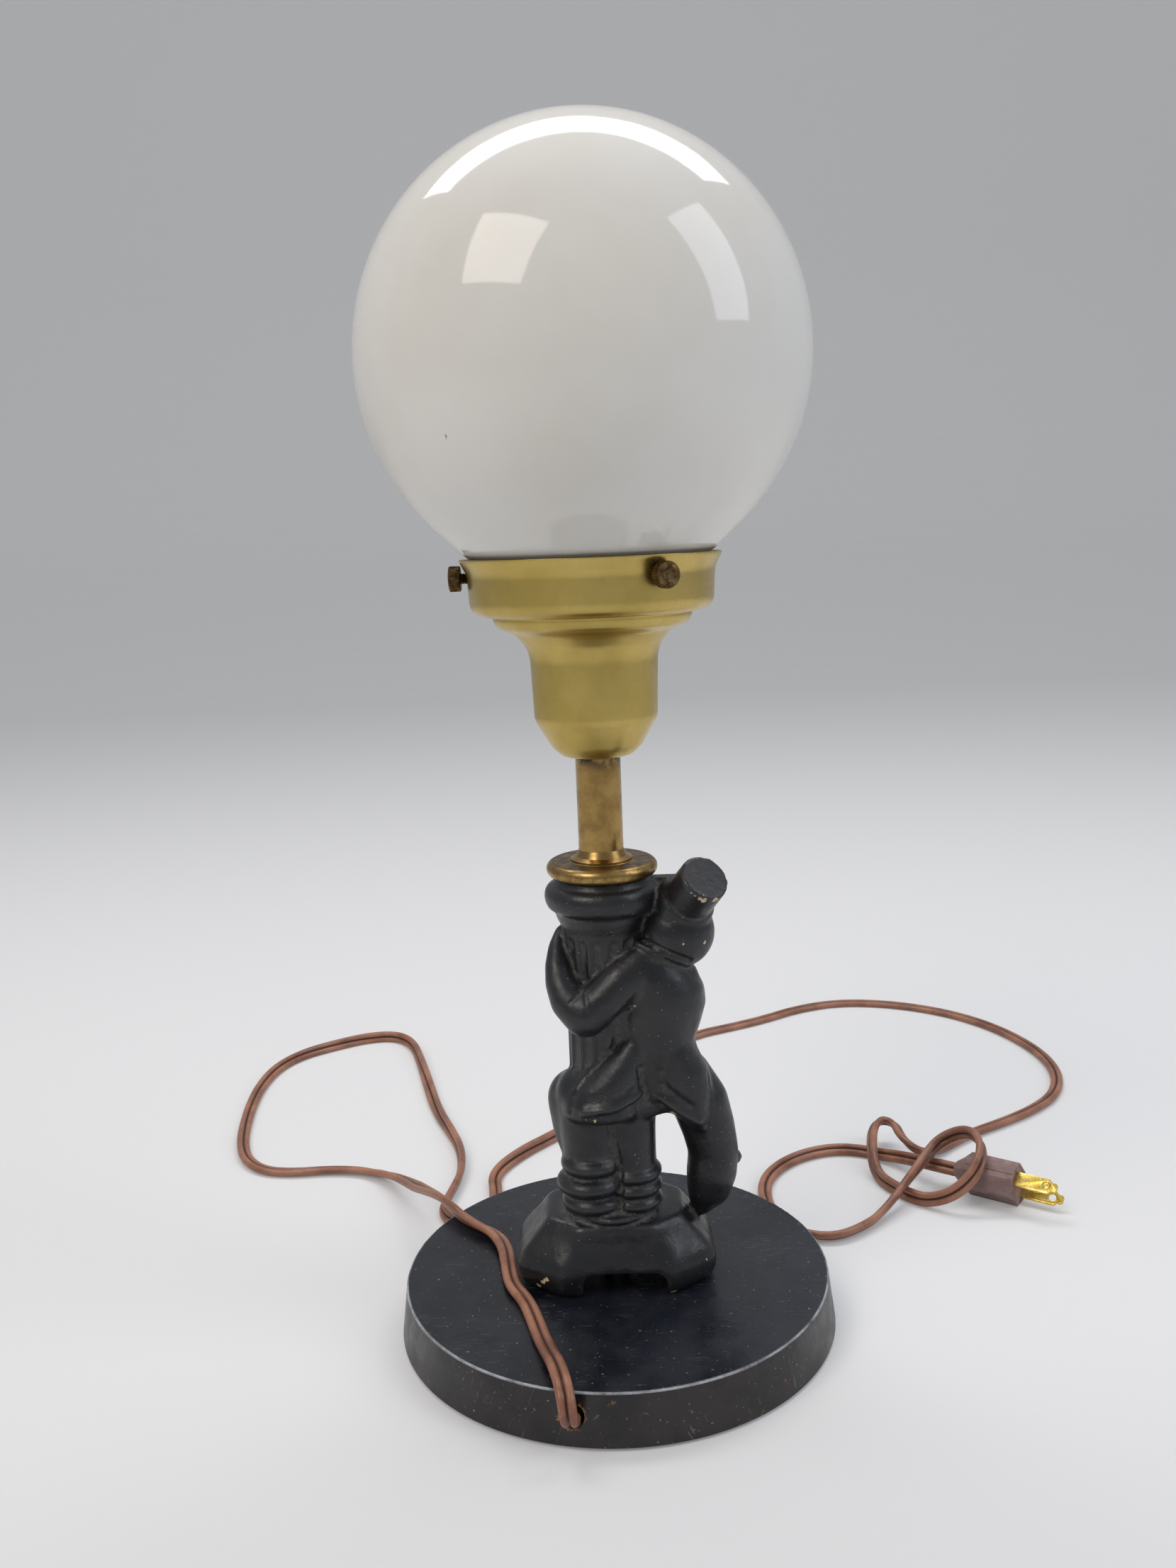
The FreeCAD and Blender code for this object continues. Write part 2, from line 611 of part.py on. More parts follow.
def cordPath(points, label):
    """Straight runs joined by tangent arcs, each as large as its two runs allow."""
    places = [Vector(*point) for point in points]
    edges, begin, radii = [], places[0], []
    for before, corner, after in zip(places, places[1:], places[2:]):
        back, ahead = before - corner, after - corner
        shorter = min(back.Length, ahead.Length)
        halfTurn = (math.pi - back.getAngle(ahead)) / 2
        trim = 0.45 * shorter
        radius = trim / math.tan(halfTurn)
        radii.append(radius)
        backUnit, aheadUnit = Vector(back).normalize(), Vector(ahead).normalize()
        start, end = corner + backUnit * trim, corner + aheadUnit * trim
        bisector = (backUnit + aheadUnit).normalize()
        toCentre = radius / math.cos(halfTurn)
        crown = corner + bisector * (toCentre - radius)
        edges.append(Part.LineSegment(begin, start).toShape())
        edges.append(Part.Arc(start, crown, end).toShape())
        begin = end
    edges.append(Part.LineSegment(begin, places[-1]).toShape())
    path = Part.Wire(edges)
    print(f"{label}: length {path.Length:.0f}, radii " + " ".join(f"{item:.1f}" for item in radii))
    return path


def cordTube(points, label):
    path = cordPath(points, label)
    way = Vector(*points[1]) - Vector(*points[0])
    section = Part.Wire([Part.Circle(Vector(*points[0]), way, cordRadius).toShape()])
    tube = path.makePipeShell([section], True, False)
    expected = math.pi * cordRadius**2 * path.Length
    print(f"{label}: volume {tube.Volume:.0f}, section times length {expected:.0f}")
    return tube


onTable = cordRadius + 0.05
onBase = size["baseTop"] + cordRadius + 0.1
exitReach = 80.3
exitPlace = (cordWay.x * exitReach, cordWay.y * exitReach, size["cordHoleHeight"])
outside = (cordWay.x * (exitReach + 9.8), cordWay.y * (exitReach + 9.8), size["cordHoleHeight"] + 0.2)

cordRoute = [
    # out of the base's side, up over its rim and back across its top
    exitPlace, outside, (-20.3, -86.8, 27.5), (-21.6, -70, 28.5), (-24.8, -52, onBase),
    (-30.4, -34, onBase), (-38.2, -16.5, onBase), (-42, 1, onBase), (-45.5, 17, onBase),
    (-53, 29, onBase + 1), (-61.5, 40, 26.4), (-72, 56, 26), (-85, 83, 15), (-98, 108, 7),
    # the wide left loop on the table
    (-112, 122, onTable), (-130, 126.5, onTable), (-148, 125, onTable), (-163, 128, onTable),
    (-174, 140, onTable), (-180, 157, onTable), (-184, 179, onTable), (-187, 206, onTable),
    (-187.5, 232, onTable), (-184, 256, onTable), (-174, 274, onTable), (-157, 286, onTable),
    (-139, 296, onTable), (-122, 297, onTable), (-111, 283.5, onTable), (-104, 258, onTable),
    (-96, 224, onTable), (-87, 186, onTable), (-78, 161, onTable), (-71, 139, onTable),
    # the fold behind the base
    (-69, 116, onTable), (-72, 97, onTable), (-75, 82, onTable), (-69, 69.5, onTable),
    (-57, 70.5, onTable), (-51.5, 82, onTable), (-52, 97, onTable), (-54, 114, onTable),
    # behind the figure and out in the wide right loop
    (-44, 132, onTable), (-27, 151, onTable), (-8, 174, onTable), (6, 204, onTable),
    (18, 236, onTable), (34, 264, onTable), (54, 284, onTable), (74, 293, onTable),
    (95, 304, onTable), (118, 320, onTable), (145, 328.5, onTable), (175, 322, onTable),
    (202, 305, onTable), (221, 282, onTable), (233, 254, onTable), (238, 226, onTable),
    (235, 200, onTable), (225, 178, onTable), (209, 162, onTable), (190, 149, onTable),
    (172, 138.5, onTable), (157.5, 129, onTable), (143.5, 130, onTable),
    # the small fold, over the plug's lead
    (135.5, 143, onTable), (129, 156, onTable), (115.5, 156.5, 4), (107.5, 145.5, 8),
    (110, 131, 11.8), (114, 116, 10.5), (118, 99, onTable), (123.5, 83, onTable),
    # the loop that lies over the plug's back end
    (134, 70, onTable), (147, 64.5, 10), (156.5, 71, 21.5), (160, 82, 27.5), (156, 94, 26.5),
    (144, 100, 19), (132, 94, 13.5), (122, 82, 12.5), (113, 67, 6), (103, 52.5, onTable),
    # round behind the base and up to the plug
    (89.5, 44.5, onTable), (76, 50.5, onTable), (68.5, 64.5, onTable), (66, 81, onTable),
    (68.5, 98, onTable), (77, 112, onTable), (90, 122.5, onTable), (106, 127, onTable),
    (121, 122, onTable), (132.5, 111, 4.5), (142.5, 92.6, 9.4), (153.9, 84.3, 9.56),
]
keep("cord_free", solid("cord_free", cordTube(cordRoute, "cord_free")))

rodMouth = size["rodBottom"]
cordInside = [
    # in through the base's side, across its hollow and straight up the rod
    exitPlace,
    (cordWay.x * 62, cordWay.y * 62, size["cordHoleHeight"] - 0.5),
    (cordWay.x * 44, cordWay.y * 44, 6.2), (cordWay.x * 28, cordWay.y * 28, 4.0),
    (cordWay.x * 14, cordWay.y * 14, 3.75), (0, 0, rodMouth - 6.1),
    (0, 0, size["socketBottom"] + 15.2),
]
keep("cord_inside", solid("cord_inside", cordTube(cordInside, "cord_inside")))

# ---------------------------------------------------------------- plug

plugEnd = Vector(*cordRoute[-1])
plugWay = (plugEnd - Vector(*cordRoute[-2])).normalize()
plugWay = Vector(plugWay.x, plugWay.y, 0).normalize()
plugRoll = math.radians(45)  # the plug lies on one of its bevels
level = Vector(0, 0, 1).cross(plugWay)
acrossBlades = level * math.cos(plugRoll) - Vector(0, 0, 1) * math.sin(plugRoll)
alongWidth = level * math.sin(plugRoll) + Vector(0, 0, 1) * math.cos(plugRoll)
plugPlace = Placement(plugEnd, Rotation(acrossBlades, alongWidth, plugWay, "ZXY"))


def plugBody():
    halfWidth, halfDepth, bevel = size["plugHalfWidth"], size["plugHalfDepth"], size["plugBevel"]
    points = []
    for signX, signY in ((1, 1), (-1, 1), (-1, -1), (1, -1)):
        pair = [(signX * halfWidth, signY * (halfDepth - bevel)),
                (signX * (halfWidth - bevel), signY * halfDepth)]
        points += pair if signX * signY > 0 else pair[::-1]
    corners = [Vector(x, y, 0) for x, y in points]
    face = Part.Face(Part.makePolygon(corners + corners[:1]))
    return face.extrude(Vector(0, 0, size["plugLength"]))


keep("plug_body", solid("plug_body", plugBody(), plugPlace))

blades = []
for side in (-1, 1):
    blade = primitive("Box", f"blade_{side}", (0, 0, 0), Rotation(), Length="bladeThickness",
                      Width="bladeWidth", Height="bladeLength")
    corner = Vector(side * size["bladeSpacing"] / 2 - size["bladeThickness"] / 2,
                    -size["bladeWidth"] / 2, size["plugLength"])
    blade.Placement = plugPlace.multiply(Placement(corner, Rotation()))
    hole = primitive("Cylinder", f"blade_hole_{side}", (0, 0, 0), Rotation(), Radius=1.6,
                     Height=6)
    middle = Vector(side * size["bladeSpacing"] / 2 - 3, 0,
                    size["plugLength"] + size["bladeLength"] - 4.6)
    hole.Placement = plugPlace.multiply(Placement(middle, Rotation(Vector(0, 1, 0), 90)))
    blades.append(cut(f"blade_drilled_{side}", blade, hole))
keep("plug_blades", fuse("plug_blades", *blades))

# ---------------------------------------------------------------- check and write

doc.recompute()
failed = [obj for obj in doc.Objects if "Invalid" in obj.State or "Error" in obj.State]
if failed:
    raise RuntimeError("; ".join(f"{obj.Name}: {obj.getStatusString()}" for obj in failed))
for label, obj in sorted(nodes.items()):
    shape = obj.Shape
    if shape.isNull() or not shape.isValid() or not shape.Solids:
        raise RuntimeError(f"{label} has no valid solid")
    shape.exportStep(f"parts/{label}.step")
    box = shape.BoundBox
    print(f"{label:22} solids {len(shape.Solids)}  volume {shape.Volume:10.1f}  "
          f"z {box.ZMin:.2f} to {box.ZMax:.2f}")
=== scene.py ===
import math

import bmesh
import bpy
import numpy as np
from mathutils import Matrix, Vector


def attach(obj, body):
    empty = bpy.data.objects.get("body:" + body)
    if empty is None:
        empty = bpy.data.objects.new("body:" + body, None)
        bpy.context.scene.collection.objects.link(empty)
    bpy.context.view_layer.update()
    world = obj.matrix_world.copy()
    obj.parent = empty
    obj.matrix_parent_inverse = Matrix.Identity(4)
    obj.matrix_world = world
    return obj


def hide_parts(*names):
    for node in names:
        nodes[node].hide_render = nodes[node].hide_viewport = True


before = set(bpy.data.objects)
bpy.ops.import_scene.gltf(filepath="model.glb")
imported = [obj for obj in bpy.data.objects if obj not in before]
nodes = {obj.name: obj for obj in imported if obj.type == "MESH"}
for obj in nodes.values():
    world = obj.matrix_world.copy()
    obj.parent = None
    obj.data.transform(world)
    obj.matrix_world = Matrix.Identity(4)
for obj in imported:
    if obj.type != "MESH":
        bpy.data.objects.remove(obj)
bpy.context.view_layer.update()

# Figural table lamp. Sizes in the dictionaries are millimetres; mm turns them to metres.
mm = 0.001


def deselect():
    for item in bpy.context.selected_objects:
        item.select_set(False)


def pick(*items):
    deselect()
    for item in items:
        item.select_set(True)
    bpy.context.view_layer.objects.active = items[0]


def place(x, y, z):
    return Vector((x, y, z)) * mm


def spoke(angle):
    # level and outward from the lamp's axis
    return Vector((math.cos(math.radians(angle)), math.sin(math.radians(angle)), 0))


def facing(way):
    # the turn that sends a primitive's own Z along way
    return way.to_track_quat("Z", "Y")


def newest(name):
    made = bpy.context.object
    made.name = made.data.name = name
    return made


def inScene(name, data):
    obj = bpy.data.objects.new(name, data)
    bpy.context.scene.collection.objects.link(obj)
    return obj


def settle(obj):
    pick(obj)
    bpy.ops.object.transform_apply(location=True, rotation=True, scale=True)
    return obj


def joined(name, parts):
    # the first part keeps its object, so its place is applied before the others join it
    settle(parts[0])
    pick(*parts)
    bpy.ops.object.join()
    return newest(name)


def applied(obj, kind, **settings):
    pick(obj)
    step = obj.modifiers.new(kind.title(), kind)
    for key, value in settings.items():
        setattr(step, key, value)
    bpy.ops.object.modifier_apply(modifier=step.name)
    return obj


def drilled(obj, cutter):
    applied(obj, "BOOLEAN", object=cutter, operation="DIFFERENCE", solver="EXACT")
    bpy.data.objects.remove(cutter)


def outward(obj):
    pick(obj)
    bpy.ops.object.mode_set(mode="EDIT")
    bpy.ops.mesh.select_all(action="SELECT")
    bpy.ops.mesh.normals_make_consistent(inside=False)
    bpy.ops.object.mode_set(mode="OBJECT")
    return obj


def extrude(x, y, z):
    bpy.ops.mesh.extrude_region_move(TRANSFORM_OT_translate={"value": (x, y, z)})


def finished(obj, body, look, replaced, angle=32):
    pick(obj)
    bpy.ops.object.shade_smooth_by_angle(angle=math.radians(angle))
    obj.data.materials.clear()
    obj.data.materials.append(look)
    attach(obj, body)
    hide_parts(*replaced)
    return obj


def lathe(name, profile, steps):
    # one vertex drawn along radius and height, then spun about the lamp's axis
    deselect()
    bpy.ops.mesh.primitive_plane_add(size=1 * mm, location=(0, 0, 0))
    obj = newest(name)
    bpy.ops.object.mode_set(mode="EDIT")
    bpy.ops.mesh.select_mode(type="VERT")
    bpy.ops.mesh.select_all(action="SELECT")
    bpy.ops.mesh.merge(type="CENTER")
    here = Vector((0, 0, 0))
    for index, (radius, height) in enumerate(profile):
        there = place(radius, 0, height)
        if index == 0:
            bpy.ops.transform.translate(value=there - here)
        else:
            bpy.ops.mesh.extrude_vertices_move(TRANSFORM_OT_translate={"value": there - here})
        here = there
    bpy.ops.mesh.select_all(action="SELECT")
    bpy.ops.mesh.spin(steps=steps, angle=2 * math.pi, center=(0, 0, 0), axis=(0, 0, 1))
    bpy.ops.mesh.select_all(action="SELECT")
    bpy.ops.mesh.remove_doubles(threshold=0.01 * mm)
    bpy.ops.mesh.normals_make_consistent(inside=False)
    bpy.ops.object.mode_set(mode="OBJECT")
    return obj


# the camera, solved from the ellipses of the base and of the globe's holder
cameraSetting = {"eye": (-3.79, -479.1, 291.0), "pitch": 79.665, "roll": -2.255,
                 "lens": 31.74, "sensor": 36.0, "nearest": 10}
eye = place(*cameraSetting["eye"])
cameraData = bpy.data.cameras.new("camera")
cameraData.sensor_fit = "VERTICAL"
cameraData.sensor_height = cameraSetting["sensor"]
cameraData.lens = cameraSetting["lens"]
cameraData.clip_start = cameraSetting["nearest"] * mm
camera = inScene("camera", cameraData)
camera.matrix_world = (Matrix.Translation(eye)
                       @ Matrix.Rotation(math.radians(cameraSetting["pitch"]), 4, "X")
                       @ Matrix.Rotation(math.radians(cameraSetting["roll"]), 4, "Z"))
bpy.context.scene.camera = camera
print("camera placed")


def colour(text):
    # an sRGB hex to the linear values that a shader wants
    parts = [int(text[i:i + 2], 16) / 255 for i in (1, 3, 5)]
    linear = [p / 12.92 if p <= 0.04045 else ((p + 0.055) / 1.055) ** 2.4 for p in parts]
    return (*linear, 1.0)


def wired(node, **settings):
    # a setting is a property, an input with _ for each space, or inN for the Nth input
    for key, value in settings.items():
        if hasattr(node, key):
            setattr(node, key, value)
            continue
        numbered = key[:2] == "in" and key[2:].isdigit()
        socket = node.inputs[int(key[2:]) if numbered else key.replace("_", " ")]
        if isinstance(value, bpy.types.NodeSocket):
            node.id_data.links.new(value, socket)
        else:
            socket.default_value = value
    return node


def add(tree, kind, out=0, **settings):
    # one node with its settings and links; what comes back is the output that is read
    return wired(tree.nodes.new("ShaderNode" + kind), **settings).outputs[out]


def started(name, clouds, **shader):
    # A new material. Each cloud is a noise cut to a mask: the width of its patches in mm, its
    # detail and roughness, and the two levels of the cut, then any turn and stretch.
    look = bpy.data.materials.new(name)
    look.use_nodes = True
    tree, mask = look.node_tree, {}
    where = add(tree, "TexCoord", "Object")
    for key, (size, detail, rough, low, high, *turned) in clouds.items():
        at = where
        if turned:
            at = add(tree, "Mapping", Vector=where, Rotation=(0, 0, turned[0]), Scale=turned[1])
        cloud = add(tree, "TexNoise", Vector=at, Scale=1 / mm / size, Detail=detail,
                    Roughness=rough)
        mask[key] = add(tree, "MapRange", Value=cloud, From_Min=low, From_Max=high)
    return look, tree, wired(tree.nodes["Principled BSDF"], **shader), where, mask


def painted(tree, body, layers):
    # colours laid over one another: where each shows, how strongly, and its hex or output
    body = colour(body) if isinstance(body, str) else body
    for mask, share, shade in layers:
        shade = colour(shade) if isinstance(shade, str) else shade
        amount = add(tree, "Math", operation="MULTIPLY", in0=mask, in1=share)
        body = add(tree, "Mix", 2, data_type="RGBA", in0=amount, in6=body, in7=shade)
    return body


def dressed(surface, body, rough, skin, strength, depth):
    # rough and skin are a start and what is added to it, as (value, share); the bump that the
    # skin gives is depth millimetres high
    tree, totals = surface.id_data, []
    for total, *terms in (rough, skin):
        for value, share in terms:
            total = add(tree, "Math", operation="MULTIPLY_ADD", in0=value, in1=share, in2=total)
        totals.append(total)
    bump = add(tree, "Bump", Height=totals[1], Strength=strength, Distance=depth * mm)
    wired(surface, Base_Color=body, Roughness=totals[0], Normal=bump)


# metres and watts
studioForm = {
    "floor": (7, 5), "cove": [(0, 0.8, 0.5), (0, 0.2, 3.0)], "coveBend": 0.5,
    "paper": "#d3d3d4", "paperGlow": 0.15, "air": "#e6e9ee", "airLight": 0.42,
    # place, size, watts, aimed at, colour
    "softboxes": [((-0.9, -0.9, 1.5), (0.9, 0.9), 11.0, (0, 0, 0.2), "#fff6ec"),
                  ((1.1, -0.3, 1.0), (0.5, 1.0), 5.0, (0, 0, 0.2), "#eef3ff"),
                  ((0.0, 0.55, 1.35), (1.6, 0.35), 9.0, (0, 0, 0.25), "#ffffff")],
}


def studioFloor():
    deselect()
    bpy.ops.mesh.primitive_plane_add(size=1, location=(0, 0, 0))
    floor = newest("floor")
    bpy.ops.object.mode_set(mode="EDIT")
    bpy.ops.transform.resize(value=(*studioForm["floor"], 1))
    bpy.ops.mesh.select_all(action="DESELECT")
    bpy.ops.object.mode_set(mode="OBJECT")
    for edge in floor.data.edges:
        ends = [floor.data.vertices[i].co.y for i in edge.vertices]
        edge.select = min(ends) > 0
    bpy.ops.object.mode_set(mode="EDIT")
    bpy.ops.mesh.select_mode(type="EDGE")
    for step in studioForm["cove"]:
        extrude(*step)
    bpy.ops.object.mode_set(mode="OBJECT")
    bevel = floor.modifiers.new("Bevel", "BEVEL")
    bevel.width, bevel.segments, bevel.limit_method = studioForm["coveBend"], 12, "ANGLE"
    return floor


def paperLook():
    # matt grey-white studio paper, a little brighter to what looks at it or mirrors it
    look, tree, surface, _, _ = started("paleStudioPaper", {}, Roughness=0.85)
    watched = 0.0
    for ray in ("Is Camera Ray", "Is Glossy Ray", "Is Transmission Ray"):
        watched = add(tree, "Math", operation="MAXIMUM", in0=watched,
                      in1=add(tree, "LightPath", ray))
    glow = add(tree, "Math", operation="MULTIPLY", in0=watched, in1=studioForm["paperGlow"])
    wired(surface, Base_Color=colour(studioForm["paper"]), Emission_Color=(1, 1, 1, 1),
          Emission_Strength=glow)
    return look


def studioLight():
    world = bpy.data.worlds.new("studio")
    bpy.context.scene.world = world
    world.use_nodes = True
    wired(world.node_tree.nodes["Background"], Color=colour(studioForm["air"]),
          Strength=studioForm["airLight"])
    for index, (at, extent, power, aim, tint) in enumerate(studioForm["softboxes"]):
        data = bpy.data.lights.new(f"softbox{index}", "AREA")
        data.shape, data.size, data.size_y = "RECTANGLE", *extent
        data.energy, data.color = power, colour(tint)[:3]
        lamp = inScene(data.name, data)
        lamp.location = at
        lamp.rotation_euler = (Vector(aim) - Vector(at)).to_track_quat("-Z", "Y").to_euler()
    bpy.context.scene.view_settings.view_transform = "Standard"


floor = studioFloor()
floor.data.materials.append(paperLook())
studioLight()
print("floor and lights placed")


cordForm = {
    "exit": (-17.19, -78.44, 11.2), "length": 1.84, "width": 6.2,
    # each core's radius, its middle's distance from the groove, and the points round it
    "lobe": 1.6, "apart": 1.5, "lobePoints": 10, "lobeTurn": 158,
    # distance between rings, and how fast the flat side follows a bend
    "ring": 1.5, "follow": 0.12, "steep": 0.25,
    # where the cord is low enough to lie on something, and how high that holds it
    "onTable": 1.65, "tableReach": 4, "tableRest": 0.04,
    "baseRadius": 76, "baseReach": 24, "baseRest": 19.4,
    # places along the route, as a share of its length, and the roll there in degrees
    "roll": [(0, 0), (0.03, 0), (0.066, 18), (0.082, 70), (0.097, 25), (0.11, -8), (0.13, 30),
             (0.16, 5), (0.19, 20), (0.2, 5), (0.245, 35), (0.27, 80), (0.3, 60), (0.33, 20),
             (0.36, 75), (0.4, 65), (0.43, 20), (0.455, 80), (0.49, 60), (0.52, 8), (0.6, 5),
             (0.7, 4), (0.76, 12), (0.8, 62), (0.83, 80), (0.86, 84), (0.89, 50), (0.93, 12),
             (0.97, 30), (1, 45)],
    # a place with no height lies on the table
    "route": [
        # out of the base's side, up over its rim and back across its top
        (-17.19, -78.44, 11.2), (-17.4, -86.6, 11.8), (-18.6, -84.4, 24.4), (-21.2, -70, 24.5),
        (-26.2, -52, 21.1), (-30.0, -36, 21.1), (-33.2, -25, 21.1), (-38.6, -14.5, 21.1),
        (-40.6, -1, 21.1), (-42.4, 12, 21.1), (-46.5, 22.5, 21.1), (-55, 30, 21.1),
        (-63.5, 39.5, 23.0), (-71.5, 54, 22.6), (-84, 82, 13), (-98, 110, 5.2),
        # the wide left loop on the table
        (-112, 123), (-130, 126.5), (-148, 125), (-163, 128), (-174, 140), (-180, 157),
        (-184, 179), (-187, 206), (-187.5, 232), (-184, 256), (-174, 274), (-157, 286),
        (-139, 296), (-122, 297), (-111, 283.5), (-104, 258), (-96, 224), (-87, 186),
        (-78, 161), (-71, 139),
        # the fold behind the base
        (-69, 116), (-72, 97), (-75, 82), (-69, 69.5), (-57, 70.5), (-51.5, 82), (-52, 97),
        (-54, 114),
        # behind the figure and out in the wide right loop
        (-44, 132), (-27, 151), (-8, 174), (6, 204), (18, 236), (34, 264), (54, 284), (74, 293),
        (95, 304), (118, 320), (145, 328.5), (175, 322), (202, 305), (221, 282), (233, 254),
        (238, 226), (235, 200), (225, 178), (209, 162), (190, 149), (172, 138.5), (159, 127.5),
        (148.5, 117.5, 3),
        # the small fold, over the plug's lead
        (140, 112, 6.5), (134.8, 120.5, 9.5), (134.8, 134, 10.5), (129, 139, 10.5),
        (123.2, 129, 10.5), (119.6, 114, 9), (118, 101, 4.5), (121, 88.5),
        # the loop that lies over the plug's back end
        (130, 74.5), (143, 66, 7), (154, 65, 18), (160, 76, 25.5), (158, 92, 25.5),
        (147, 99, 18), (135.5, 88.5, 11.5), (126.5, 77, 9), (116.5, 65.5, 4.5), (103.5, 52.5),
        # round behind the base and up to the plug
        (89.5, 44.5), (76, 50.5), (68.5, 64.5), (66, 81), (68.5, 98), (77, 112), (90, 122.5),
        (106, 127), (121, 122), (132.5, 111, 4.5), (142.5, 92.6, 9.4), (153.9, 84.3, 9.56),
    ],
}


def cordLine():
    # the route as one smooth spline, and the points that it gives
    line = bpy.data.curves.new("cordRoute", "CURVE")
    line.dimensions = "3D"
    spline = line.splines.new("NURBS")
    spline.points.add(len(cordForm["route"]) - 1)
    for point, (x, y, *height) in zip(spline.points, cordForm["route"]):
        point.co = (*place(x, y, *(height or [cordForm["onTable"]])), 1.0)
    spline.order_u = 3
    spline.use_endpoint_u = True
    spline.resolution_u = 14
    holder = inScene("cordRoute", line)
    bpy.context.view_layer.update()
    mesh = bpy.data.meshes.new_from_object(holder)
    points = np.array([v.co[:] for v in mesh.vertices])
    bpy.data.objects.remove(holder)
    bpy.data.meshes.remove(mesh)
    return points


def evenly(points, step):
    runs = np.linalg.norm(np.diff(points, axis=0), axis=1)
    along = np.concatenate([[0], np.cumsum(runs)])
    count = int(along[-1] / step)
    at = np.linspace(0, along[-1], count + 1)
    return np.stack([np.interp(at, along, points[:, axis]) for axis in range(3)], 1), at


def cordSection():
    # two round cores side by side, with a groove between them, and how far out each point is
    lobe, apart = cordForm["lobe"] * mm, cordForm["apart"] * mm
    turn, count = cordForm["lobeTurn"], cordForm["lobePoints"]
    outline = []
    for side in (1, -1):
        for step in range(count):
            angle = math.radians(-turn + 2 * turn * step / (count - 1))
            outline.append((side * (apart + lobe * math.cos(angle)), side * lobe * math.sin(angle),
                            0.5 + 0.5 * math.cos(angle)))
    return outline


def cordRolls(distance):
    shares, rolls = zip(*cordForm["roll"])
    return np.radians(np.interp(distance / distance[-1], shares, rolls))


def liftedCord(points, distance):
    # a flat cord that turns on its edge lies higher
    edge = cordForm["apart"] * mm * np.abs(np.sin(cordRolls(distance)))
    height = points[:, 2]
    onTable = height < cordForm["tableReach"] * mm
    onBase = (np.hypot(points[:, 0], points[:, 1]) < cordForm["baseRadius"] * mm) \
        & (height < cordForm["baseReach"] * mm)
    lifted = points.copy()
    for resting, rest in ((onTable, cordForm["tableRest"]), (onBase, cordForm["baseRest"])):
        clear = np.maximum(height, (cordForm["lobe"] + rest) * mm + edge)
        lifted[:, 2] = np.where(resting, clear, lifted[:, 2])
    for _ in range(2):
        lifted[1:-1, 2] = np.maximum(lifted[1:-1, 2], (lifted[:-2, 2] + lifted[2:, 2]) / 2)
    return lifted


def cordTube(points, distance):
    up = Vector((0, 0, 1))
    rolls = cordRolls(distance)
    section = cordSection()
    mesh = bmesh.new()
    outness = mesh.verts.layers.float.new("outness")
    width, rings = None, []
    for index, at in enumerate(points):
        before, after = points[max(index - 1, 0)], points[min(index + 1, len(points) - 1)]
        way = Vector(after - before).normalized()
        flat = up.cross(way)
        carried = width - way * width.dot(way) if width else flat
        if flat.length > cordForm["steep"]:
            flat = flat.normalized() * (1 if flat.dot(carried) >= 0 else -1)
            carried = carried.normalized().lerp(flat, cordForm["follow"] if width else 1.0)
        width = carried.normalized()
        across = Matrix.Rotation(rolls[index], 3, way) @ width
        rise = way.cross(across).normalized()
        ring = []
        for x, y, out in section:
            vertex = mesh.verts.new(Vector(at) + across * x + rise * y)
            vertex[outness] = out
            ring.append(vertex)
        rings.append(ring)
    count = len(section)
    for low, high in zip(rings, rings[1:]):
        for i in range(count):
            mesh.faces.new((low[i], low[(i + 1) % count], high[(i + 1) % count], high[i]))
    mesh.faces.new(rings[0][::-1])
    mesh.faces.new(rings[-1])
    bmesh.ops.recalc_face_normals(mesh, faces=mesh.faces)
    data = bpy.data.meshes.new("mainsCord")
    mesh.to_mesh(data)
    mesh.free()
    return inScene("mainsCord", data)


def cordLook():
    # extruded brown PVC: satin, with a copper cast, pale dust, and painted shade darkening the
    # groove between cores
    look, tree, surface, _, mask = started("extrudedBrownPvc", {
        "patches": (18.0, 4, 0.55, 0.4, 0.6), "specks": (1.1, 2, 0.5, 0.62, 0.7),
        "skin": (2.4, 3, 0.55, 0.4, 0.6)}, Specular_IOR_Level=0.55)
    outness = add(tree, "Attribute", "Fac", attribute_name="outness")
    # painted shade: the colour is darkened in the groove between the two cores
    grooveShade = add(tree, "MapRange", Value=outness, From_Min=0.35, From_Max=0.03)
    body = painted(tree, "#84553f", [(mask["patches"], 1, "#a8745b"),
                                     (mask["specks"], 0.35, "#c09a82"), (grooveShade, 1, "#452a20")])
    dressed(surface, body, (0.3, (mask["patches"], 0.16)), (mask["skin"],), 0.25, 0.12)
    return look


cordPoints, cordDistance = evenly(cordLine(), cordForm["ring"] * mm)
cordPoints = liftedCord(cordPoints, cordDistance)
print("cord length on its line", round(float(cordDistance[-1]), 4))
mainsCord = cordTube(cordPoints, cordDistance)
cordVinyl = cordLook()
finished(mainsCord, "lamp", cordVinyl, ["cord_free"], 50)
print("cord laid")


plugForm = {
    "end": (153.9, 84.3, 9.56), "way": (0.808, -0.589, 0.0), "roll": 45.0,
    "halfWidth": 11.0, "halfDepth": 7.5, "bevel": 5.0, "length": 24.3,
    # the body's drawn-in cable end, as heights and shares of its full width
    "neck": [(-3.2, 0.42), (0.0, 0.66), (3.4, 1.0)], "rim": 1.1, "setBack": 0.35, "round": 0.55,
    # the parting line's groove across and into each side
    "seamHeight": 13, "seamLength": 60, "seamWide": 0.35, "seamDeep": 0.5,
    "bladeWidth": 6.35, "bladeThickness": 1.5, "bladeLength": 17.5, "bladeGap": 12.7,
    "bladeRoot": 3, "bladeRound": 0.12, "tipWidth": 3.4, "tipLength": 3.0,
    "holeRadius": 1.6, "holeFromTip": 4.6, "bossRadius": 1.55, "bossGroove": 0.28,
}


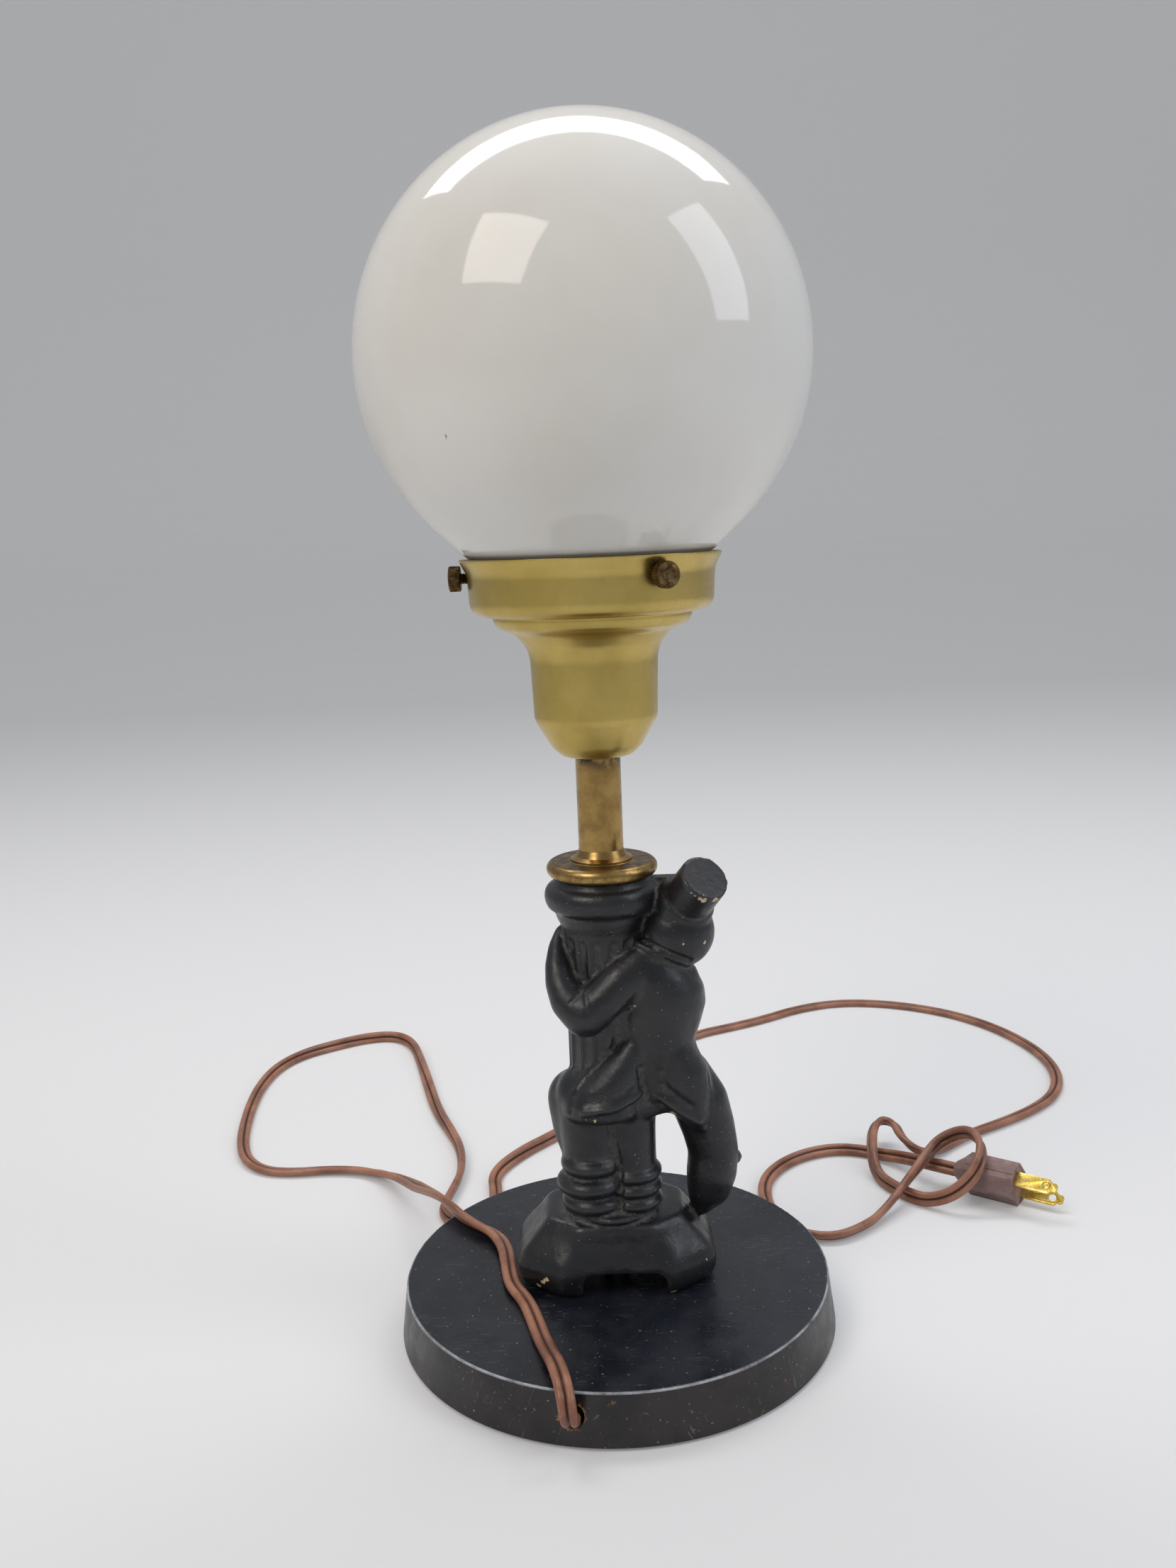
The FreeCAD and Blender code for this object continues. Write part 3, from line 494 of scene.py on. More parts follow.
def plugFrame():
    up = Vector((0, 0, 1))
    way = Vector(plugForm["way"]).normalized()
    roll = math.radians(plugForm["roll"])
    across = up.cross(way) * math.cos(roll) - up * math.sin(roll)
    turn = Matrix((across, way.cross(across), way)).transposed().to_4x4()
    return Matrix.Translation(place(*plugForm["end"])) @ turn


def outlined(name, outline):
    # a flat face with its corners at the outline's places
    deselect()
    bpy.ops.mesh.primitive_circle_add(vertices=len(outline), radius=1, fill_type="NGON",
                                      location=(0, 0, 0))
    face = newest(name)
    for vertex, at in zip(face.data.vertices, outline):
        vertex.co = place(*at)
    bpy.ops.object.mode_set(mode="EDIT")
    bpy.ops.mesh.select_all(action="SELECT")
    return face


def plugBody():
    form = plugForm
    wide, deep, bevel = form["halfWidth"], form["halfDepth"], form["bevel"]
    corners = [(wide, bevel - deep), (wide, deep - bevel), (wide - bevel, deep),
               (bevel - wide, deep)]
    corners += [(-x, -y) for x, y in corners]
    body = outlined("plugBody", [(x, y, 0) for x, y in corners])
    height, scale = 0.0, 1.0
    for index, (at, size) in enumerate(form["neck"] + [(form["length"], 1.0)]):
        if index:
            extrude(0, 0, (at - height) * mm)
        else:
            bpy.ops.transform.translate(value=(0, 0, at * mm))
        bpy.ops.transform.resize(value=(size / scale, size / scale, 1), center_override=(0, 0, 0))
        height, scale = at, size
    # the face is set back in a light rim
    bpy.ops.mesh.inset(thickness=form["rim"] * mm)
    extrude(0, 0, -form["setBack"] * mm)
    bpy.ops.object.mode_set(mode="OBJECT")
    outward(body)
    applied(body, "BEVEL", width=form["round"] * mm, segments=3, limit_method="ANGLE",
            angle_limit=math.radians(20))
    # the mould's parting line, a fine groove along the two narrow sides and the broad ones
    seams = []
    broad, narrow = (form["seamWide"], form["seamDeep"]), (form["seamDeep"], form["seamWide"])
    for x, y, size in ((0, deep, broad), (0, -deep, broad), (wide, 0, narrow), (-wide, 0, narrow)):
        deselect()
        bpy.ops.mesh.primitive_cube_add(size=1 * mm, location=place(x, y, form["seamHeight"]),
                                        scale=(*size, form["seamLength"]))
        seams.append(bpy.context.object)
    drilled(body, joined("seamCutter", seams))
    body.matrix_world = plugFrame()
    return settle(body)


def plugBlade(side):
    form = plugForm
    half, tip, root = form["bladeWidth"] / 2, form["tipWidth"] / 2, form["bladeRoot"]
    long, base = form["bladeLength"], form["length"]
    shoulder = long - form["tipLength"]
    # width and height: the root, the stepped shoulder and the narrowed tip
    outline = [(-half, -root), (half, -root), (half, shoulder - 0.4), (half - 0.7, shoulder + 0.2),
               (tip + 0.1, shoulder + 0.5), (tip + 0.35, shoulder + 1.5), (tip + 0.25, long - 0.7),
               (tip - 0.5, long)]
    outline += [(-y, z) for y, z in outline[2:]][::-1]
    left = (side * form["bladeGap"] - form["bladeThickness"]) / 2
    blade = outlined("plugBlade", [(left, y, z + base) for y, z in outline])
    extrude(form["bladeThickness"] * mm, 0, 0)
    bpy.ops.object.mode_set(mode="OBJECT")
    outward(blade)
    deselect()
    height = base + long - form["holeFromTip"]
    if side < 0:
        # the near blade has a round pressed boss instead of a hole
        bpy.ops.mesh.primitive_torus_add(
            major_radius=form["bossRadius"] * mm, minor_radius=form["bossGroove"] * mm,
            major_segments=32, minor_segments=8, location=place(left, 0, height),
            rotation=(0, math.pi / 2, 0))
    else:
        bpy.ops.mesh.primitive_cylinder_add(
            vertices=32, radius=form["holeRadius"] * mm, depth=4 * form["bladeThickness"] * mm,
            location=place(form["bladeGap"] / 2, 0, height), rotation=(0, math.pi / 2, 0))
    drilled(blade, settle(bpy.context.object))
    return applied(blade, "BEVEL", width=form["bladeRound"] * mm, segments=2,
                   limit_method="ANGLE", angle_limit=math.radians(50))


def plugBlades():
    both = joined("plugBlades", [plugBlade(side) for side in (-1, 1)])
    both.matrix_world = plugFrame()
    return settle(both)


def plainLook(name, low, high, patches, grain, bump, rough, rubbed=(), hazed=(), **shader):
    # low and high are mottled by the patches; rubbed is how strongly and in what colour the
    # grain shows, and hazed a cloud with how much it adds to the roughness
    clouds = {"patches": (*patches, 0.55, 0.4, 0.6), "grain": grain}
    if hazed:
        clouds["haze"] = hazed[0]
    look, tree, surface, _, mask = started(name, clouds, **shader)
    layers = [(mask["patches"], 1, high)]
    if rubbed:
        layers.append((mask["grain"], *rubbed))
    terms = [(mask["haze"], hazed[1])] if hazed else []
    dressed(surface, painted(tree, low, layers), (rough, *terms), (mask["grain"],), *bump)
    return look


# injection-moulded vinyl: matt mauve-brown, rubbed lighter on its grain
plugVinyl = plainLook("mouldedMauveVinyl", "#7e6360", "#947774", (5.0, 4),
                      (0.6, 2, 0.5, 0.3, 0.7), (0.3, 0.08), 0.62, rubbed=(0.25, "#b09a94"))
# stamped yellow brass, rolled finish: bright, with a fine haze of handling
bladeBrass = plainLook("stampedYellowBrass", "#d9b95a", "#e9d27c", (3.0, 4),
                       (0.5, 2, 0.55, 0.4, 0.6), (0.15, 0.03), 0.26,
                       hazed=((0.7, 3, 0.55, 0.4, 0.6), 0.16), Metallic=1.0)
plug = finished(plugBody(), "lamp", plugVinyl, ["plug_body"])
blades = finished(plugBlades(), "lamp", bladeBrass, ["plug_blades"])
print("plug made")


casting = {
    "softVoxel": 0.9, "fineVoxel": 0.78, "softSteps": 9, "fineSteps": 3, "shrink": 0.5,
    "foot": 19.35, "top": 171.0, "topRadius": 18,
    # a flute's depth, how much of its pitch it takes, where it runs, and how its top fades out
    "flutes": 16, "fluteDepth": 1.1, "fluteShare": 0.36, "fluteRadius": 13.5,
    "fluteBottom": 50, "fluteTop": 151.5, "fluteEnd": 150.0, "fluteFade": 2.5, "columnVoxel": 0.7,
    # radius and height up the column
    "column": [(17.6, 30), (17.6, 46.5), (14.7, 50), (14.7, 151.5), (15.2, 152.4), (16.2, 154.6),
               (17.2, 156.8), (17.3, 157.8), (17.5, 158.9), (18.9, 159.3), (20.2, 160.6),
               (20.8, 162.4), (21.0, 164.0), (20.8, 165.6), (20.0, 167.2), (18.8, 168.2),
               (17.6, 168.5), (17.2, 169.0), (17.2, 171.0)],
    # closed forms by height: middle x and y, half width, half depth
    "stacks": {
        "torso": [(103.0, 16.0, -3.0, 13.6, 13.6), (110.0, 16.6, -3.0, 14.8, 15.0),
                  (117.0, 18.2, -3.3, 15.5, 15.6), (124.0, 19.4, -3.5, 16.2, 16.4),
                  (130.0, 19.4, -3.5, 15.6, 16.4), (135.5, 18.0, -3.8, 13.6, 15.6),
                  (140.5, 16.6, -4.2, 11.4, 13.6), (145.0, 15.2, -4.6, 8.2, 10.0)],
        "nearSkirt": [(84.8, -2.8, -8.6, 13.6, 13.4), (86.4, -3.4, -8.8, 14.8, 14.4),
                      (91.0, -3.2, -8.8, 15.0, 14.8), (97.0, -0.8, -8.6, 14.0, 13.8),
                      (103.0, 3.2, -7.9, 11.6, 12.6), (110.0, 8.0, -7.0, 8.4, 10.8),
                      (117.0, 12.5, -6.0, 6.5, 9.0)],
        "tail": [(77.0, 32.6, -9.0, 1.8, 2.6), (79.0, 31.6, -9.2, 3.5, 4.0),
                 (82.0, 30.0, -9.4, 5.7, 5.4), (86.0, 27.4, -9.2, 8.8, 7.0),
                 (90.0, 25.6, -8.6, 10.8, 8.8), (95.0, 25.4, -7.6, 10.9, 10.2),
                 (100.0, 25.0, -6.6, 10.2, 11.2), (106.0, 23.4, -5.6, 8.8, 12.0),
                 (113.0, 21.6, -4.6, 8.6, 12.0)],
        "farSkirt": [(84.0, 8.0, 5.0, 21.0, 10.0), (88.0, 8.5, 5.0, 22.0, 11.0),
                     (95.0, 10.5, 4.0, 19.5, 11.0), (103.0, 14.0, 2.0, 15.0, 11.5),
                     (112.0, 17.0, 1.0, 12.5, 11.0)],
        "hips": [(84.0, 9.0, -2.0, 16.0, 13.0), (92.0, 11.0, -2.0, 17.0, 14.0),
                 (103.0, 14.0, -2.5, 14.0, 14.0), (112.0, 16.0, -3.0, 12.0, 13.0)],
    },
    # x, y, z and radius at each station of a limb
    "limbs": [
        # the near arm: shoulder, elbow, wrist
        [(12, -9.5, 139.5, 8.6), (5, -13, 135.2, 8.0), (-2, -15.2, 128.8, 7.7),
         (-7.8, -15.4, 124.2, 8.2), (-13.4, -13, 128.4, 6.8), (-16.2, -10, 134, 5.6),
         (-17.2, -6.5, 139.5, 4.6), (-17.0, -2.5, 145, 3.5), (-15.2, 2, 149.5, 2.8)],
        # the far arm
        [(13, 8, 138, 8.0), (4, 13, 132, 7.4), (-4, 15.2, 126.5, 7.0), (-9.5, 14, 125.6, 6.6),
         (-13.8, 9, 131, 5.4), (-15.6, 4, 137, 4.6), (-15.6, 0, 141.5, 4.0)],
        # the shoulders
        [(12, -6, 139, 8.6), (24, -4, 131.5, 9.6)],
        # two legs side by side
        [(-8.4, -5, 90, 11.8), (-8.2, -6.2, 79, 10.9), (-8.0, -6.6, 71, 10.3),
         (-8.2, -6.4, 50, 10.3)],
        [(6.2, -5, 90, 10.4), (6.4, -6.4, 77, 9.6), (6.6, -6.6, 67, 9.3), (6.8, -6.4, 50, 9.6)],
        # the near thigh, swelling out beside the column
        [(-12.2, 0, 87, 11.0), (-11.6, -1, 77, 10.1), (-10.6, -2, 68, 8.2), (-10, -3, 58, 7.6)],
        # the other leg, bowed out to the right
        [(27, -1, 94, 10.2), (32.6, -1, 84, 10.6), (35.4, -1.0, 74.5, 9.9), (37.2, -1.0, 65, 9.3),
         (36.4, -1.0, 57, 9.4), (35.4, -0.6, 51, 8.4), (33.6, 0.0, 46.5, 6.0),
         (32.6, 0.6, 42.5, 4.0)],
        [(40, 4, 60, 4.5), (45.6, 7, 58, 3.2)],
    ],
    # middle x and y, radius, thickness and the heights of each stack of rolled cloth
    "folds": [((-7.7, -8.0), 11.5, 8.2, (65.8,)), ((-8.5, -8.0), 12.5, 8.6, (58.4,)),
              ((-7.4, -7.6), 11.9, 7.6, (51.2,)), ((7.1, -7.4), 10.7, 6.6, (61.6, 56.2, 50.8)),
              ((-0.6, -5.0), 15.6, 4.4, (47.2,))],
    # height, half width and half depth; each arch is a box's middle and size
    "plinth": {
        "rings": [(17.0, 30.0, 21.6), (19.4, 32.4, 23.4), (21.5, 34.6, 25.0), (25.0, 36.4, 26.2),
                  (29.0, 36.6, 26.4), (33.0, 34.6, 25.4), (37.0, 31.2, 23.6), (40.5, 28.0, 21.8),
                  (43.6, 25.8, 20.6), (45.4, 24.2, 19.2)],
        # how far the corners are cut off, and how deep and wide the long sides are hollowed
        "cut": 1.52, "hollow": 3.0, "hollowWidth": 21.0, "hollowTop": 44, "hollowFade": 8,
        "arches": [((2.6, 0, 17.5), (30, 80, 21)), ((0, 0, 16.5), (90, 18, 17))], "archRound": 3,
    },
    "head": (26, -6, 150.6), "headRadius": 13.1, "hatWay": (0.373, -0.624, 0.687),
    "hatFoot": (30.0, -10.7, 163.7), "collar": (19.5, -3.5, 145.0), "collarWay": (0.43, -0.12, 0.9),
    # how far it starts below its foot, its length, and its radius there and at its top
    "crown": (3, 16.6, 9.0, 8.7), "brim": (5, 4.6, 10.9, 10.1), "neck": (9, 9.6, 13.0, 11.2),
    "band": (11.7, 1.5), "web": ((20.0, 0.0, 157.0), (17, 5, 25)), "faceWay": (-0.45, 0.89, 0.0),
    # right, forward, up from the middle of the head, and radius
    "face": [(0, 2.2, -0.5, 11.2), (-4.0, 9.2, 2.6, 3.3), (4.0, 9.2, 2.6, 3.3),
             (0, 9.6, 2.6, 2.7), (0, 11.9, 1.2, 1.5), (0, 12.9, -0.6, 1.6), (0, 13.7, -2.2, 1.9),
             (-1.3, 12.4, -2.7, 1.3), (1.3, 12.4, -2.7, 1.3), (-5.0, 8.4, -2.6, 3.4),
             (5.0, 8.4, -2.6, 3.4), (0, 9.5, -5.0, 3.4), (-1.0, 12.0, -4.9, 1.1),
             (1.0, 12.0, -4.9, 1.1), (0, 11.9, -6.3, 1.3), (0, 9.8, -9.2, 3.2),
             (-3.8, 6.4, -8.0, 3.4), (3.8, 6.4, -8.0, 3.4), (-4.0, 10.4, 0.2, 1.6),
             (4.0, 10.4, 0.2, 1.6), (-11.6, -0.6, -0.6, 2.2), (11.6, -0.6, -0.6, 2.2)],
    # the distance between a crease's rays and how far round it is looked for, in mm, and the
    # rounds that even out the neighbours and the hollows
    "creaseStep": 0.7, "creaseReach": 5, "nearRounds": 4, "hollowRounds": 2,
}


def ball(x, y, z, radius):
    deselect()
    bpy.ops.mesh.primitive_uv_sphere_add(segments=32, ring_count=18, radius=radius * mm,
                                         location=place(x, y, z))
    return settle(bpy.context.object)


def cone(foot, way, depth, low, high, sides=48):
    # from its foot along way, with a radius at each end
    deselect()
    bpy.ops.mesh.primitive_cone_add(
        vertices=sides, radius1=low * mm, radius2=high * mm, depth=depth * mm,
        location=(foot + way * depth / 2) * mm, rotation=facing(way).to_euler())
    return settle(bpy.context.object)


def limb(stations):
    # a ball at each station and the cone that touches both balls between them
    parts = [ball(*station) for station in stations]
    for first, second in zip(stations, stations[1:]):
        start, end = Vector(first[:3]), Vector(second[:3])
        way = (end - start).normalized()
        slope = (first[3] - second[3]) / (end - start).length
        lean = math.asin(max(-0.95, min(0.95, slope)))
        low = start + way * first[3] * math.sin(lean)
        high = end + way * second[3] * math.sin(lean)
        parts.append(cone(low, way, (high - low).length, first[3] * math.cos(lean),
                          second[3] * math.cos(lean), 32))
    return joined("limb", parts)


def stacked(name, rings, count=64):
    # a closed form through flat ellipses: height, middle x and y, half width, half depth
    height, x, y, wide, deep = rings[0]
    deselect()
    bpy.ops.mesh.primitive_circle_add(vertices=count, radius=1 * mm, fill_type="NGON",
                                      location=place(x, y, height))
    form = settle(newest(name))
    bpy.ops.object.mode_set(mode="EDIT")
    bpy.ops.mesh.select_all(action="SELECT")
    bpy.ops.transform.resize(value=(wide, deep, 1), center_override=place(x, y, height))
    for low, high in zip(rings, rings[1:]):
        extrude(*place(high[1] - low[1], high[2] - low[2], high[0] - low[0]))
        bpy.ops.transform.resize(value=(high[3] / low[3], high[4] / low[4], 1),
                                 center_override=place(high[1], high[2], high[0]))
    bpy.ops.object.mode_set(mode="OBJECT")
    return outward(form)


def softForms():
    parts = [stacked(name, rings) for name, rings in casting["stacks"].items()]
    parts += [limb(stations) for stations in casting["limbs"]] + [plinthForm()]
    body = joined("softForms", parts)
    applied(body, "REMESH", mode="VOXEL", voxel_size=casting["softVoxel"] * mm)
    return applied(body, "SMOOTH", factor=casting["shrink"], iterations=casting["softSteps"])


def column():
    form = casting
    profile = [(0, form["column"][0][1])] + form["column"] + [(0, form["column"][-1][1])]
    shaft = lathe("column", profile, form["flutes"] * 8)
    applied(shaft, "REMESH", mode="VOXEL", voxel_size=form["columnVoxel"] * mm)
    pitch = 2 * math.pi / form["flutes"]
    for vertex in shaft.data.vertices:
        radius = math.hypot(vertex.co.x, vertex.co.y)
        angle = math.atan2(vertex.co.y, vertex.co.x)
        height = vertex.co.z / mm
        if radius < form["fluteRadius"] * mm \
                or not form["fluteBottom"] < height < form["fluteTop"]:
            continue
        across = ((angle / pitch) % 1.0 - 0.5) / form["fluteShare"]
        inside = max(0.0, 1 - across ** 2) ** 0.5
        fade = min(1.0, max(0.0, (form["fluteEnd"] - height) / form["fluteFade"])) ** 0.5
        radius -= form["fluteDepth"] * mm * inside * fade
        vertex.co.x, vertex.co.y = radius * math.cos(angle), radius * math.sin(angle)
    return shaft


def foldRolls():
    rolls = []
    for (x, y), radius, thick, heights in casting["folds"]:
        for height in heights:
            deselect()
            bpy.ops.mesh.primitive_uv_sphere_add(segments=48, ring_count=24, radius=1 * mm,
                                                 location=place(x, y, height),
                                                 scale=(radius, radius, thick / 2))
            roll = bpy.context.object
            for vertex in roll.data.vertices:
                # flatter above and below than a squashed ball
                across = math.hypot(vertex.co.x, vertex.co.y) / (radius * mm)
                swell = (1 - min(across, 1) ** 3.4) ** 0.5
                vertex.co.z = math.copysign(swell * thick / 2 * mm, vertex.co.z) if swell else 0
            rolls.append(settle(roll))
    return rolls


def plinthForm():
    # an eight-sided block that flares from its top to four round feet
    form, rings = casting["plinth"], casting["plinth"]["rings"]
    block = stacked("plinth", [(height, 0, 0, wide, deep) for height, wide, deep in rings], 96)
    heights, widths, depths = zip(*rings)
    for vertex in block.data.vertices:
        height = vertex.co.z / mm
        wide, deep = np.interp(height, heights, widths), np.interp(height, heights, depths)
        angle = math.atan2(vertex.co.y / deep, vertex.co.x / wide)
        across, along = abs(math.cos(angle)), abs(math.sin(angle))
        share = 1 / max(across, along, (across + along) / form["cut"])
        vertex.co.x, vertex.co.y = vertex.co.x * share, vertex.co.y * share
        # the long sides are hollowed between the feet
        middle = max(0.0, 1 - (abs(vertex.co.x) / mm / form["hollowWidth"]) ** 4)
        low = min(1.0, max(0.0, (form["hollowTop"] - height) / form["hollowFade"]))
        vertex.co.y -= math.copysign(form["hollow"] * mm * middle * low, vertex.co.y)
    for at, extent in form["arches"]:
        deselect()
        bpy.ops.mesh.primitive_cube_add(size=1 * mm, location=place(*at), scale=extent)
        drilled(block, applied(settle(bpy.context.object), "BEVEL",
                               width=form["archRound"] * mm, segments=4))
    return block


def headForms():
    form = casting
    middle, hat, collarWay = (Vector(form[key]) for key in ("head", "hatWay", "collarWay"))
    hat, collarWay = hat.normalized(), collarWay.normalized()
    hatFoot, collar = Vector(form["hatFoot"]), Vector(form["collar"])
    parts = [ball(*middle, form["headRadius"])]
    for foot, way, (back, *shape) in ((hatFoot, hat, form["crown"]), (hatFoot, hat, form["brim"]),
                                      (collar, collarWay, form["neck"])):
        parts.append(cone(foot - way * back, way, *shape))
    deselect()
    bpy.ops.mesh.primitive_torus_add(
        major_segments=64, minor_segments=16, major_radius=form["band"][0] * mm,
        minor_radius=form["band"][1] * mm, location=collar * mm,
        rotation=facing(collarWay).to_euler())
    parts.append(settle(bpy.context.object))
    # the web of clay between the back of the head and the column
    deselect()
    bpy.ops.mesh.primitive_cube_add(size=1 * mm, location=place(*form["web"][0]),
                                    scale=form["web"][1])
    parts.append(settle(bpy.context.object))
    forward = Vector(form["faceWay"])
    forward = (forward - hat * forward.dot(hat)).normalized()
    right = forward.cross(hat)
    return parts + [ball(*(middle + right * x + forward * y + hat * z), radius)
                    for x, y, z, radius in form["face"]]


def surfaceArrays(mesh):
    # every vertex's place and its normal
    arrays = []
    for source, name in ((mesh.vertices, "co"), (mesh.vertex_normals, "vector")):
        values = np.empty(len(mesh.vertices) * 3)
        source.foreach_get(name, values)
        arrays.append(values.reshape(-1, 3))
    return arrays


def seen(obj, x, y, z):
    # where the camera's line through a place meets the piece
    hit, where, _, _ = obj.ray_cast(eye, (place(x, y, z) - eye).normalized())
    return [where[:]] if hit else []


def stored(obj, name, values):
    layer = obj.data.attributes.new(name, "FLOAT", "POINT")
    layer.data.foreach_set("value", values)


creases = [  # x and z at depth y, traced on the front; depth is pressed in, minus is raised
    # the coat's front edge, from the waist down to its hem
    {"y": -17, "depth": 0.9, "width": 0.9, "points": [
        (2.7, 114), (1.1, 111.5), (-3.9, 105.9), (-8.9, 101.2), (-13.1, 94.7), (-15.1, 88.1)]},
    # the hem's raised band and the dip above it
    {"y": -21, "depth": -0.9, "width": 1.2, "points": [
        (-10.0, 89.6), (-6.3, 89.9), (1.5, 91.0), (7.9, 94.4), (11.4, 97.2)]},
    {"y": -21, "depth": 0.7, "width": 1.7, "points": [
        (-8, 93.4), (-2, 94.0), (4, 96.8), (9, 100.6)]},
    # the cleft up the coat's back
    {"y": -17, "depth": 1.1, "width": 1.4, "points": [
        (13.2, 90.0), (12.2, 95), (11.2, 99.5), (10.6, 104.5)]},
    # the ridge along the tail's hem and the dip above it
    {"y": -14, "depth": -1.2, "width": 1.3, "points": [
        (17.6, 91.6), (19.8, 89.8), (23.6, 86.2), (29.1, 82.6), (32.0, 81.2)]},
    {"y": -14, "depth": 0.8, "width": 1.8, "points": [(19.0, 95.5), (23.5, 91.0), (29.0, 87.0)]},
    # the tail's right edge against the leg
    {"y": -8, "depth": 0.8, "width": 0.9, "points": [
        (35.4, 98.1), (36.2, 89.6), (35.5, 82.0), (34.3, 76.5)]},
    # where the two trouser legs meet
    {"y": -17, "depth": 0.9, "width": 1.0, "points": [
        (-0.6, 83), (0.2, 77), (1.4, 71), (2.2, 66.5)]},
    {"y": -18, "depth": 0.9, "width": 0.9, "points": [
        (2.2, 66.5), (2.4, 60), (2.2, 54), (2.0, 50)]},
    # the coat's collar, a raised band with a groove above it
    {"y": -14, "depth": -0.7, "width": 0.8, "points": [
        (11.0, 149.0), (16.8, 146.0), (22.9, 142.9), (29.7, 139.8)]},
    {"y": -14, "depth": 0.7, "width": 0.7, "points": [
        (12.0, 150.6), (17.4, 147.8), (23.6, 144.6), (30.0, 141.8)]},
    # elbow crease, raised, and the sleeve's small folds
    {"y": -19, "depth": -0.5, "width": 0.7, "points": [
        (-7.6, 133.0), (-7.2, 129.5), (-7.0, 126.5)]},
    {"y": -18, "depth": 0.5, "width": 0.6, "points": [
        (-13.0, 129.6), (-11.2, 131.0), (-10.2, 132.6)]},
]


def creased(obj, lines):
    # each line is drawn on the front as the camera sees it, then pressed in or raised
    points, normals = surfaceArrays(obj.data)
    moved = np.zeros(len(points))
    reach = casting["creaseReach"] * mm
    for line in lines:
        track = []
        for (x0, z0), (x1, z1) in zip(line["points"], line["points"][1:]):
            steps = max(2, int(math.hypot(x1 - x0, z1 - z0) / casting["creaseStep"]))
            for share in (k / steps for k in range(steps)):
                track += seen(obj, x0 + (x1 - x0) * share, line["y"], z0 + (z1 - z0) * share)
        track = np.array(track)
        near = np.full(len(points), 1.0)
        low, high = track.min(0) - reach, track.max(0) + reach
        inside = np.where(((points > low) & (points < high)).all(1))[0]
        for point in track:
            away = np.linalg.norm(points[inside] - point, axis=1)
            near[inside] = np.minimum(near[inside], away)
        moved -= line["depth"] * mm * np.exp(-(near / (line["width"] * mm)) ** 2)
    points += normals * moved[:, None]
    obj.data.vertices.foreach_set("co", points.reshape(-1))
    obj.data.update()


def figureCasting():
    form = joined("figureCasting", [softForms(), column()] + foldRolls() + headForms())
    applied(form, "REMESH", mode="VOXEL", voxel_size=casting["fineVoxel"] * mm)
    applied(form, "SMOOTH", factor=casting["shrink"], iterations=casting["fineSteps"])
    for vertex in form.data.vertices:
        vertex.co.z = max(vertex.co.z, casting["foot"] * mm)
        if math.hypot(vertex.co.x, vertex.co.y) < casting["topRadius"] * mm:
            vertex.co.z = min(vertex.co.z, casting["top"] * mm)
    creased(form, creases)
    return form


def hollowness(obj):
    # how deep a point lies between its neighbours, smoothed, for the dust and the worn edges
    mesh = obj.data
    points, normals = surfaceArrays(mesh)
    pairs = np.empty(len(mesh.edges) * 2, dtype=int)
    mesh.edges.foreach_get("vertices", pairs)
    pairs = pairs.reshape(-1, 2)
    degree = np.bincount(pairs.reshape(-1), minlength=len(points))[:, None]

    def neighbours(values):
        total = np.zeros_like(values)
        np.add.at(total, pairs[:, 0], values[pairs[:, 1]])
        np.add.at(total, pairs[:, 1], values[pairs[:, 0]])
        return total / np.maximum(degree, 1)

    wide = points.copy()
    for _ in range(casting["nearRounds"]):
        wide = neighbours(wide)
    depth = ((wide - points) * normals).sum(1, keepdims=True) / mm
    for _ in range(casting["hollowRounds"]):
        depth = neighbours(depth)
    stored(obj, "hollow", depth[:, 0])


chips = [  # x, y and z on the front, radius of the worn place
    # the hat's rim, the tail of the coat and its hem
    (32.6, -22, 166.4, 1.5), (34.3, -22, 165.6, 1.9), (38.2, -22, 165.6, 2.2),
    (29.9, -22, 168.4, 1.1), (31.0, -22, 167.4, 1.0), (22.0, -13, 85.0, 2.6),
    (-6.0, -20, 86.2, 1.5), (-9.0, -20, 86.4, 1.2),
    # the coat's back and the head
    (9.6, -18, 127.4, 1.1), (35.1, -12, 147.7, 1.2), (27.4, -12, 147.3, 1.0),
    # the plinth's left foot and its right one
    (-25.6, -25, 28.9, 2.2), (-28.4, -25, 26.9, 1.7), (-30.4, -25, 24.8, 1.3),
    (-27.0, -25, 27.9, 1.5), (19.8, -23, 21.2, 2.2), (23.0, -23, 21.0, 2.9),
    (26.5, -23, 21.2, 2.7), (29.4, -22, 22.0, 1.9), (32.1, -21, 32.3, 1.0),
    (-33.0, -21, 24.0, 1.3), (21.4, -24, 20.6, 2.6), (25.0, -24, 20.6, 2.6),
]


def chipped(obj):
    points, _ = surfaceArrays(obj.data)
    worn = np.zeros(len(points))
    for x, y, z, radius in chips:
        for where in seen(obj, x, y, z):
            away = np.linalg.norm(points - np.array(where), axis=1) / (radius * mm)
            worn = np.maximum(worn, 1 - away)
    stored(obj, "worn", np.clip(worn, 0, 1))


